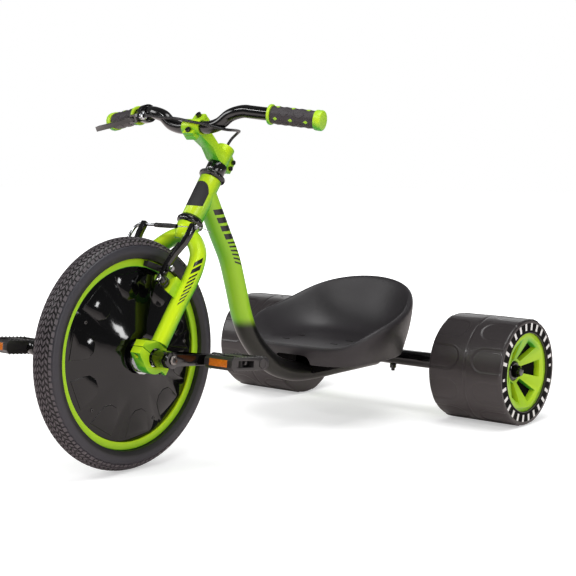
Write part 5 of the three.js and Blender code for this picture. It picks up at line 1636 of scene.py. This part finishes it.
@dataclass
class PedalDrive:
    """Spindle, cranks and pedals."""

    crank: float = 113.0
    drop: float = math.radians(7)
    inner: float = 113.0
    pitch: float = math.radians(6.5)
    width: float = 60.0
    thick: float = 22.0
    boss_offset: float = 31.0
    stud_margin: float = 4.5
    stud_start: float = -36.0
    stud_step: float = 8.0
    studs_each: int = 10

    def build(self) -> None:
        """Builds and dresses the drive."""
        dress(["crank_spindle"], BLACK_OXIDE)
        for side in Side:
            rounded_copies([f"crank_{side.word}"], BLACK_ENAMEL, "crankset", 1.0)
            rounded_copies([f"crank_bolt_{side.word}"], ZINC_PLATE, "crankset", 0.6)
            # The dark plate paints the shade in the bolt's hex recess
            add_piece(f"crank_bolt_socket_{side.word}", [self.socket(side)], BLACK_OXIDE, "crankset")
            body = f"pedal_{side.word}"
            rounded_copies([body], PEDAL_NYLON, body, 0.8)
            add_piece(f"{body}_studs", self.studs(side), PEDAL_NYLON, body)
            add_piece(f"{body}_boss", [self.boss(side)], PEDAL_NYLON, body)
            for end in ("front", "rear"):
                rounded_copies([f"reflector_{side.word}_{end}"], AMBER_ACRYLIC, body, 0.5)

    def socket(self, side: Side) -> Mesh:
        """A dark six-sided plate on a crank bolt's head, painted shade for the recess in it."""
        outer = outer_face(f"crank_bolt_{side.word}", side)
        place = WHOLE @ Matrix.Translation((outer, HUB.y, HUB.z)) @ side.mirror
        return turned("socket", [(0.01, -0.4), (4.6, -0.4), (4.6, 0.12), (0.01, 0.12)], 6, place, 20)

    def pedal_place(self, side: Side) -> Matrix:
        """The frame of a pedal: its middle on the crank's end, tilted as it hangs."""
        y = side.value * self.crank * math.cos(self.drop)
        z = -side.value * self.crank * math.sin(self.drop)
        place = WHOLE @ Matrix.Translation(HUB) @ Matrix.Translation((0, y, z))
        return place @ Matrix.Rotation(-self.pitch, 4, "X")

    def boss(self, side: Side) -> Mesh:
        """The raised six-sided boss on a pedal's outer face."""
        place = self.pedal_place(side) @ side.mirror
        place = place @ Matrix.Translation((self.inner + self.width, self.boss_offset, 0))
        place = place @ Matrix.Rotation(math.radians(30), 4, "X")
        profile = [(0.01, -0.8), (9.6, -0.8), (9.2, 0.9), (7.4, 0.9), (6.8, 0.4), (0.01, 0.4)]
        return turned("pedal_boss", profile, 6, place, 20)

    def studs(self, side: Side) -> list[Mesh]:
        """Rows of small grip studs on both faces of a pedal.

        Args:
            side: The pedal's side.

        Returns:
            The meshes.
        """
        rows = []
        for face in (1, -1):
            for edge in (self.inner + self.stud_margin, self.inner + self.width - self.stud_margin):
                place = self.pedal_place(side)
                run = place.to_3x3() @ Vector((0, self.stud_step, 0))
                spot = (side.value * edge, self.stud_start, face * self.thick / 2)
                place = place @ Matrix.Translation(spot)
                place = place @ Matrix.Rotation(-face * math.pi / 2, 4, "Y")
                stud = turned("stud", [(2.2, -0.5), (1.4, 1.4), (0.01, 1.4), (0.01, -0.5)], 8, place)
                rows.append(row_of(stud, self.studs_each, run, PEDAL_NYLON))
        return rows


# Frame, seat and rear wheels


@dataclass
class Chassis:
    """The spine with its head tube, the seat on its bracket and the rear axle."""

    radius: float = 19.05
    head_station: float = 323.0
    rail_height: float = 101.5
    rail_start: float = 173.0
    axle_radius: float = 15.9
    shade_plate_depth: float = 48.0
    head_radius: float = 20.2
    head_start: float = 265.0
    head_end: float = 352.0

    def build(self) -> None:
        """Builds and dresses the chassis."""
        line = self.spine()
        add_piece("frame_spine", [tube_of("spine", line, self.radius, 48, WHOLE, FADED_COAT)], FADED_COAT,
                  "chassis", ["frame"])
        add_piece("frame_fittings", [self.fittings(line)], FADED_COAT, "chassis")
        add_piece("frame_stripes", [self.stripes(line, side) for side in Side], BLACK_VINYL, "chassis")
        add_piece("head_badge", [self.badge()], GREY_VINYL, "chassis")
        rounded_copies(["rear_axle"], BLACK_ENAMEL, "chassis", 0.6)
        rounded_copies(["seat_bracket"], MATT_ENAMEL, "chassis", 0.6)
        # Painted shade: dark plates under the seat's front
        add_piece("seat_bracket_lips", self.shade_plates(), MATT_ENAMEL, "chassis")
        rounded_copies(["axle_bolt_left", "axle_bolt_right"], BLACK_OXIDE, "chassis", 0.5)
        rounded_copies(["axle_nut_left", "axle_nut_right"], MATT_ENAMEL, "chassis", 0.6)

    def spine(self) -> list[Vector]:
        """The middle of the frame tube."""
        back = Matrix.Rotation(-LEAN, 4, "X") @ Vector((0, 0, self.head_station)) + HUB
        run, drop = self.rail_start - back.y, back.z - self.rail_height
        shares = [(0, 0), (0.131, 0.209), (0.213, 0.339), (0.268, 0.477), (0.323, 0.629), (0.375, 0.725),
                  (0.443, 0.801), (0.526, 0.866), (0.625, 0.928), (0.732, 0.965), (0.852, 0.99), (1, 1)]
        points = [(0, back.y + run * a, back.z - drop * b) for a, b in shares]
        end = REAR_AXLE_Y - self.axle_radius - 0.3
        points += [(0, (self.rail_start + end) / 2, self.rail_height), (0, end, self.rail_height)]
        return centripetal(points, 10)

    def fittings(self, line: list[Vector]) -> Mesh:
        """The head tube and the axle plate, without the spine.

        Args:
            line: The spine's middle.

        Returns:
            The mesh.
        """
        back = STEER.inverted()

        def apart(place: Vector) -> bool:
            """Whether a face isn't the spine's skin."""
            on_head = back @ place
            if math.hypot(on_head.x, on_head.y) < self.head_radius \
                    and self.head_start < on_head.z < self.head_end:
                return True
            point = place / MM
            return min((point - p).length for p in line) > self.radius * 1.05

        return cad_copy("frame", 0.8, apart)

    def stripes(self, line: list[Vector], side: Side) -> Mesh:
        """Plain slanted stripes down a side of the spine.

        Args:
            line: The spine's middle.
            side: The side.

        Returns:
            The mesh.
        """
        bars = [(40 + 17 * i, 51 + 17 * i, -48, 34 - 3 * i) for i in range(4)]
        bars += [(108 + 8 * i, 111.5 + 8 * i, -46 + 4 * i, 20) for i in range(6)]
        return wrapped("spine_stripes", line, self.radius, bars, side.value, -12, WHOLE)

    def shade_plates(self) -> list[Mesh]:
        """Dark plates hung from the front of the seat bracket, either side of the spine: painted shade under
        the seat's front.
        """
        low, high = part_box("seat_bracket")
        half, top = high[0] / MM - 2, high[2] / MM - 3
        near, foot = self.radius + 5, top - self.shade_plate_depth
        outline = rounded([(near, top), (half, top), (half - 6, foot + 8), (near + 6, foot), (near, foot)],
                          4, 3)
        turn = WHOLE @ Matrix.Translation((0, low[1] / MM + 0.4, 0))
        turn = turn @ Matrix.Rotation(math.radians(90), 4, "X")
        return [extruded("shade_plate", [(side.value * x, z) for x, z in outline], -3.0, 0.0, turn)
                for side in Side]

    def badge(self) -> Mesh:
        """A plain grey shield on the front of the head tube."""
        line = [Vector((0, 0, 268.0 + 4 * i)) for i in range(21)]
        bars = []
        for i in range(23):
            near, away = 3.0 * i, 3.0 * (i + 1)
            low, high = 15 + 7 * (i / 22) ** 2, 66 - 17 * (i / 22) ** 3
            bars += [(low, high, -90 - away, -90 - near), (low, high, -90 + near, -90 + away)]
        return wrapped("badge", line, 19.5, bars, 1, 0, STEER)


@dataclass
class Seat:
    """The moulded bucket seat, skinned through rings and smoothed."""

    pan_height: float = 157.0
    half_width: float = 153.0
    length: float = 270.0
    rise: float = 110.0
    roll: float = 12.0
    roll_drop: float = 8.0
    bulge: float = 5.0
    skirt_drop: float = 36.5
    rear_rise: float = 12.0
    base_half: float = 122.0
    base_length: float = 240.0
    pan_half: float = 104.0
    pan_length: float = 205.0
    wall: float = 4.0
    front: float = 114.1
    base_setback: float = 10.0
    pan_setback: float = 12.0
    slot_front: float = 230.0
    slot_back: float = 181.0
    slot_offset: float = 59.0

    RIM = [(0, 0, 0), (0.33, 0.004, 0), (0.6, 0.03, 0.005), (0.76, 0.09, 0.05), (0.88, 0.17, 0.18),
           (0.96, 0.27, 0.31), (1, 0.38, 0.39), (0.985, 0.5, 0.465), (0.94, 0.62, 0.55), (0.88, 0.72, 0.65),
           (0.79, 0.81, 0.765), (0.66, 0.885, 0.86), (0.48, 0.945, 0.935), (0.25, 0.985, 0.985), (0, 1, 1)]
    BASE = [(0, 0, 0), (0.42, 0.004, 0), (0.74, 0.03, 0), (0.89, 0.1, 0), (0.96, 0.2, 0), (0.99, 0.32, 0),
            (1, 0.44, 0), (1, 0.56, 0.03), (0.985, 0.67, 0.08), (0.95, 0.78, 0.2), (0.885, 0.87, 0.4),
            (0.785, 0.935, 0.6), (0.6, 0.975, 0.8), (0.3, 0.995, 0.95), (0, 1, 1)]
    PAN = [(0, 0, 0), (0.42, 0.004, 0), (0.76, 0.03, 0), (0.9, 0.1, 0), (0.97, 0.2, 0), (1, 0.32, 0),
           (1, 0.44, 0), (0.99, 0.56, 0), (0.96, 0.67, 0), (0.9, 0.77, 0), (0.81, 0.855, 0), (0.67, 0.92, 0),
           (0.48, 0.965, 0), (0.25, 0.99, 0), (0, 1, 0)]
    ROLL = [0.3, 0.3, 0.35, 0.5, 0.75, 0.9, 1, 1, 1, 1, 1, 1, 1, 1, 1]

    def build(self) -> None:
        """Builds and dresses the seat."""
        add_piece("seat_moulding", [self.shell()], SEAT_SKIN, "chassis", ["seat_shell"])
        add_piece("seat_bolts", self.bolts(), BLACK_OXIDE, "chassis")

    def ring(self, shares: Sequence[tuple[float, float, float]], half: float, length: float, rise: float,
             front: float, height: float) -> list[Vector]:
        """One ring round the seat's plan.

        Args:
            shares: Shares of the half width, length and rise from front to back.
            half: The half width.
            length: The length.
            rise: The rise at the back.
            front: Where the ring starts.
            height: The height at its front.

        Returns:
            The ring's points.
        """
        right = [Vector((x * half, front + y * length, height + z * rise)) for x, y, z in shares]
        return right + [Vector((-p.x, p.y, p.z)) for p in reversed(right[1:-1])]

    def shell(self) -> Mesh:
        """The smoothed shell with its four slots."""
        h = self.pan_height
        lip = self.ring(self.RIM, self.half_width, self.length, self.rise, self.front, h)
        base = self.ring(self.BASE, self.base_half, self.base_length, self.rear_rise,
                         self.front + self.base_setback, h - self.skirt_drop)
        pan = self.ring(self.PAN, self.pan_half, self.pan_length, 0, self.front + self.pan_setback, h)
        middle = Vector((0, self.front + self.pan_setback + self.pan_length / 2, h))
        roll = self.ROLL + list(reversed(self.ROLL[1:-1]))

        def out(points: list[Vector], by: Sequence[float]) -> list[Vector]:
            """Moves a ring outwards in plan."""
            moved = []
            for point, distance in zip(points, by):
                way = Vector((point.x - middle.x, point.y - middle.y, 0)).normalized()
                moved.append(point + way * distance)
            return moved

        def down(points: list[Vector], by: float) -> list[Vector]:
            """Moves a ring down."""
            return [point - Vector((0, 0, by)) for point in points]

        wall = [a.lerp(b, 0.55) - Vector((0, 0, (b.z - a.z) * 0.1)) for a, b in zip(pan, lip)]
        shoulder = down(out(lip, [s * self.roll for s in roll]), self.roll_drop)
        skirt = out([a.lerp(b, 0.5) for a, b in zip(base, shoulder)], [s * self.bulge for s in roll])
        inset = [-self.wall] * len(lip)
        rings = [
            [middle.lerp(p, 0.55) for p in pan], [middle.lerp(p, 0.84) for p in pan],
            [a.lerp(b, 0.1) for a, b in zip(pan, lip)], wall,
            down(out(lip, [-2.2 * s for s in roll]), 3.0), out(lip, [s * self.roll * 0.15 for s in roll]),
            out(lip, [s * self.roll * 0.6 for s in roll]), shoulder, skirt,
            down(out(base, [0.8] * len(base)), -4.0), base, out(base, inset), out(skirt, inset),
            down(out(lip, [s * self.roll * 0.65 - self.wall * 0.8 for s in roll]), self.wall * 1.7),
            down(out(wall, [s * self.wall for s in roll]), self.wall), down(pan, self.wall),
            [middle.lerp(p, 0.5) - Vector((0, 0, self.wall)) for p in pan],
        ]
        count = len(lip)
        points = [middle, *[p for ring in rings for p in ring], middle - Vector((0, 0, self.wall))]
        last = len(points) - 1
        faces = []
        for i in range(count):
            j = (i + 1) % count
            faces.append((0, 1 + i, 1 + j))
            for row in range(len(rings) - 1):
                a, b = 1 + row * count, 1 + (row + 1) * count
                faces.append((a + i, b + i, b + j, a + j))
            end = 1 + (len(rings) - 1) * count
            faces.append((last, end + j, end + i))
        shell = mesh_of("seat", points, faces, WHOLE, 180)
        carrier = placed("carrier", shell)
        smooth = carrier.modifiers.new("smooth", "SUBSURF")
        smooth.levels = smooth.render_levels = 2
        cutter = self.cutter()
        hollow = carrier.modifiers.new("slots", "BOOLEAN")
        hollow.operation = "DIFFERENCE"
        hollow.solver = "EXACT"
        hollow.object = cutter
        made = settled(carrier)
        bpy.data.objects.remove(cutter)
        return hardened(made, 40)

    def cutter(self) -> bpy.types.Object:
        """The shapes that cut the slots in the pan and the notch in the skirt."""
        sheet = bmesh.new()
        for side in Side:
            for station in (self.slot_front, self.slot_back):
                outline = rounded([(-9, -3.5), (9, -3.5), (9, 3.5), (-9, 3.5)], 3.4, 5)
                spot = (side.value * self.slot_offset, REAR_AXLE_Y - station, 0)
                place = WHOLE @ Matrix.Translation(spot)
                sheet.from_mesh(extruded("slot", outline, self.pan_height - 9, self.pan_height + 5, place))
        outline = rounded([(-40, -20), (40, -20), (40, 6), (-40, 6)], 14, 6)
        turn = WHOLE @ Matrix.Translation((0, self.front - 4, self.pan_height - self.skirt_drop + 13))
        turn = turn @ Matrix.Rotation(math.radians(90), 4, "X")
        sheet.from_mesh(extruded("notch", outline, -34, 6, turn))
        made = bpy.data.meshes.new("cutter")
        sheet.to_mesh(made)
        sheet.free()
        return placed("cutter", made)

    def bolts(self) -> list[Mesh]:
        """The four bolts that stand in the slots."""
        rows = []
        up = Matrix.Rotation(-math.pi / 2, 4, "Y")
        for side in Side:
            start = (side.value * self.slot_offset, REAR_AXLE_Y - self.slot_front,
                     self.pan_height - self.wall)
            head = bolt_head("seat_bolt", 3.1, 3.0, WHOLE @ Matrix.Translation(start) @ up)
            rows.append(row_of(head, 2, (0, (self.slot_front - self.slot_back) * MM, 0), BLACK_OXIDE))
        return rows


@dataclass
class RearWheel:
    """One wide roller wheel: a moulded tread with pockets, printed ticks and a spoked centre."""

    side: Side
    track_half: float = 267.7
    radius: float = 102.8
    half: float = 79.0
    edge: float = 5.0
    hub: float = 75.7
    boss_face: float = 50.0
    dish_depth: float = 25.0
    dish_thickness: float = 12.0
    rim_inner: float = 66.4
    boss_radius: float = 21.0
    pockets: int = 10
    pocket_turn: float = 18.0
    pocket_half: float = 22.0
    pocket_tip: float = 38.0
    pocket_depth: float = 1.3
    around: int = 300
    across: int = 76

    # Runs of ticks: first angle, copies and step in degrees, inner and outer radius, and width
    TICKS = [(14, 12, 13.5, 81.0, 94.5, 6.4), (194, 12, 13.5, 81.0, 94.5, 6.4), (2, 2, 180, 84.0, 91.0, 5.0)]

    def place(self) -> Matrix:
        """The matrix from the wheel's own frame, in which +X points outwards."""
        spot = Matrix.Translation((self.side.value * self.track_half, REAR_AXLE_Y, self.radius))
        return WHOLE @ spot @ self.side.mirror

    def build(self) -> None:
        """Builds and dresses the wheel."""
        word = self.side.word
        body = f"rear_wheel_{word}"
        add_piece(f"rear_tyre_{word}_moulding", [self.tyre()], ROLLER_SKIN, body, [f"rear_tyre_{word}"])
        add_piece(f"rear_tyre_{word}_ticks", self.ticks(), WHITE_PRINT, body)
        rounded_copies([f"rear_hub_{word}"], LIME_ABS, body, 0.9)
        rounded_copies([f"rear_bush_{word}"], BLACK_ENAMEL, body, 0.5)
        add_piece(f"rear_boss_cap_{word}", [self.boss_cap()], BLACK_ENAMEL, body)
        add_piece(f"rear_wall_print_{word}", [self.wall_print()], WALL_BAND, body)
        # Painted shade: a matt black cone fills the hub's windows
        add_piece(f"rear_hub_backing_{word}", [self.shade_cone()], WALL_BAND, body)

    def depth(self, angle: float, x: float) -> float:
        """How far the tread lies under its full height.

        Args:
            angle: The angle round the wheel in radians.
            x: The distance from the wheel's middle.

        Returns:
            The depth in millimetres.
        """
        groove = 1.1 * math.exp(-((x / 1.7) ** 2))
        step = TURN / self.pockets
        u = ((angle - math.radians(self.pocket_turn) + step / 2) % step - step / 2) * self.radius
        out = math.hypot(u, min(0.0, abs(x) - self.pocket_tip)) - self.pocket_half
        t = min(1.0, max(0.0, 0.5 - out / 2.4))
        return groove + self.pocket_depth * t * t * (3 - 2 * t) + 0.7 * math.exp(-((out / 1.3) ** 2))

    def tyre(self) -> Mesh:
        """The tread's skin with its pockets, down both walls to the spoked centre."""
        section = [(self.hub, -self.half + 0.4), (self.hub + 3, -self.half + 0.4), (84, -self.half + 0.4)]
        flat = self.half - self.edge
        corner = []
        for k in range(9):
            angle = -math.pi / 2 + math.pi / 2 * k / 8
            corner.append((self.radius + self.edge * (math.cos(angle) - 1),
                           -flat + self.edge * math.sin(angle)))
        middle = [(self.radius, -flat + 2 * flat * k / self.across) for k in range(1, self.across)]
        left = section + corner
        right = [(r, -x) for r, x in reversed(left)]
        profile = left + middle + right
        points = []
        for i in range(self.around):
            angle = TURN * i / self.around
            for radius, x in profile:
                r = radius - (self.depth(angle, x) if radius > self.radius - self.edge * 0.55 else 0.0)
                points.append((x, r * math.cos(angle), r * math.sin(angle)))
        return mesh_of("rear_tyre", points, skin_faces(self.around, len(profile)), self.place(), 50)

    def wall_print(self) -> Mesh:
        """The flat black band on the outer wall, under the ticks."""
        face = self.half - 0.42
        inner, outer = self.hub + 1.2, self.radius - self.edge - 0.2
        profile = [(inner, face), (inner, face + 0.32), (outer, face + 0.32), (outer, face)]
        return turned("wall_print", profile, 160, self.place())

    def shade_cone(self) -> Mesh:
        """A matt black cone behind the hub's spokes: painted shade for the hollow hub seen through its
        windows.
        """
        face = self.boss_face - self.dish_thickness
        profile = [(20.6, face - 0.8), (self.rim_inner - 0.6, face + self.dish_depth - 1.2),
                   (self.rim_inner - 0.6, face + self.dish_depth - 2.8), (20.6, face - 2.4)]
        return turned("hub_backing", profile, 96, self.place())

    def boss_cap(self) -> Mesh:
        """The black ring pressed over the hub's boss."""
        face, rim = self.boss_face, self.boss_radius
        profile = rounded([(12.6, face - 1), (12.6, face + 2.4), (rim - 5, face + 2.4),
                           (rim + 0.6, face - 1.2), (rim + 0.6, face - 9), (rim - 0.8, face - 9),
                           (rim - 0.8, face - 1)], 0.8, 3)
        return turned("boss_cap", profile, 56, self.place())

    def ticks(self) -> list[Mesh]:
        """Plain printed ticks round the outer wall, in two runs with a square between them."""
        rings = []
        for start, copies, step, low, high, width in self.TICKS:
            points = []
            for x in (self.half - 0.55, self.half - 0.02):
                for r, t in ((low, -width / 2), (low, width / 2), (high, width / 2), (high, -width / 2)):
                    angle = math.radians(start) + t / r
                    points.append((x, r * math.cos(angle), r * math.sin(angle)))
            tick = mesh_of("tick", points, [(0, 1, 2, 3), (4, 5, 6, 7), *side_faces(4)], self.place())
            rings.append(ring_of(tick, copies, step, self.place().translation, WHITE_PRINT))
        return rings


def main() -> None:
    logging.basicConfig(level=logging.INFO, format="%(name)s %(message)s")
    for part in (Studio(), FrontWheel(), FrontEnd(), Brake(), PedalDrive(), Chassis(), Seat(),
                 RearWheel(Side.LEFT), RearWheel(Side.RIGHT)):
        LOG.info("building %s", type(part).__name__)
        part.build()


if __name__ == "__main__":
    main()
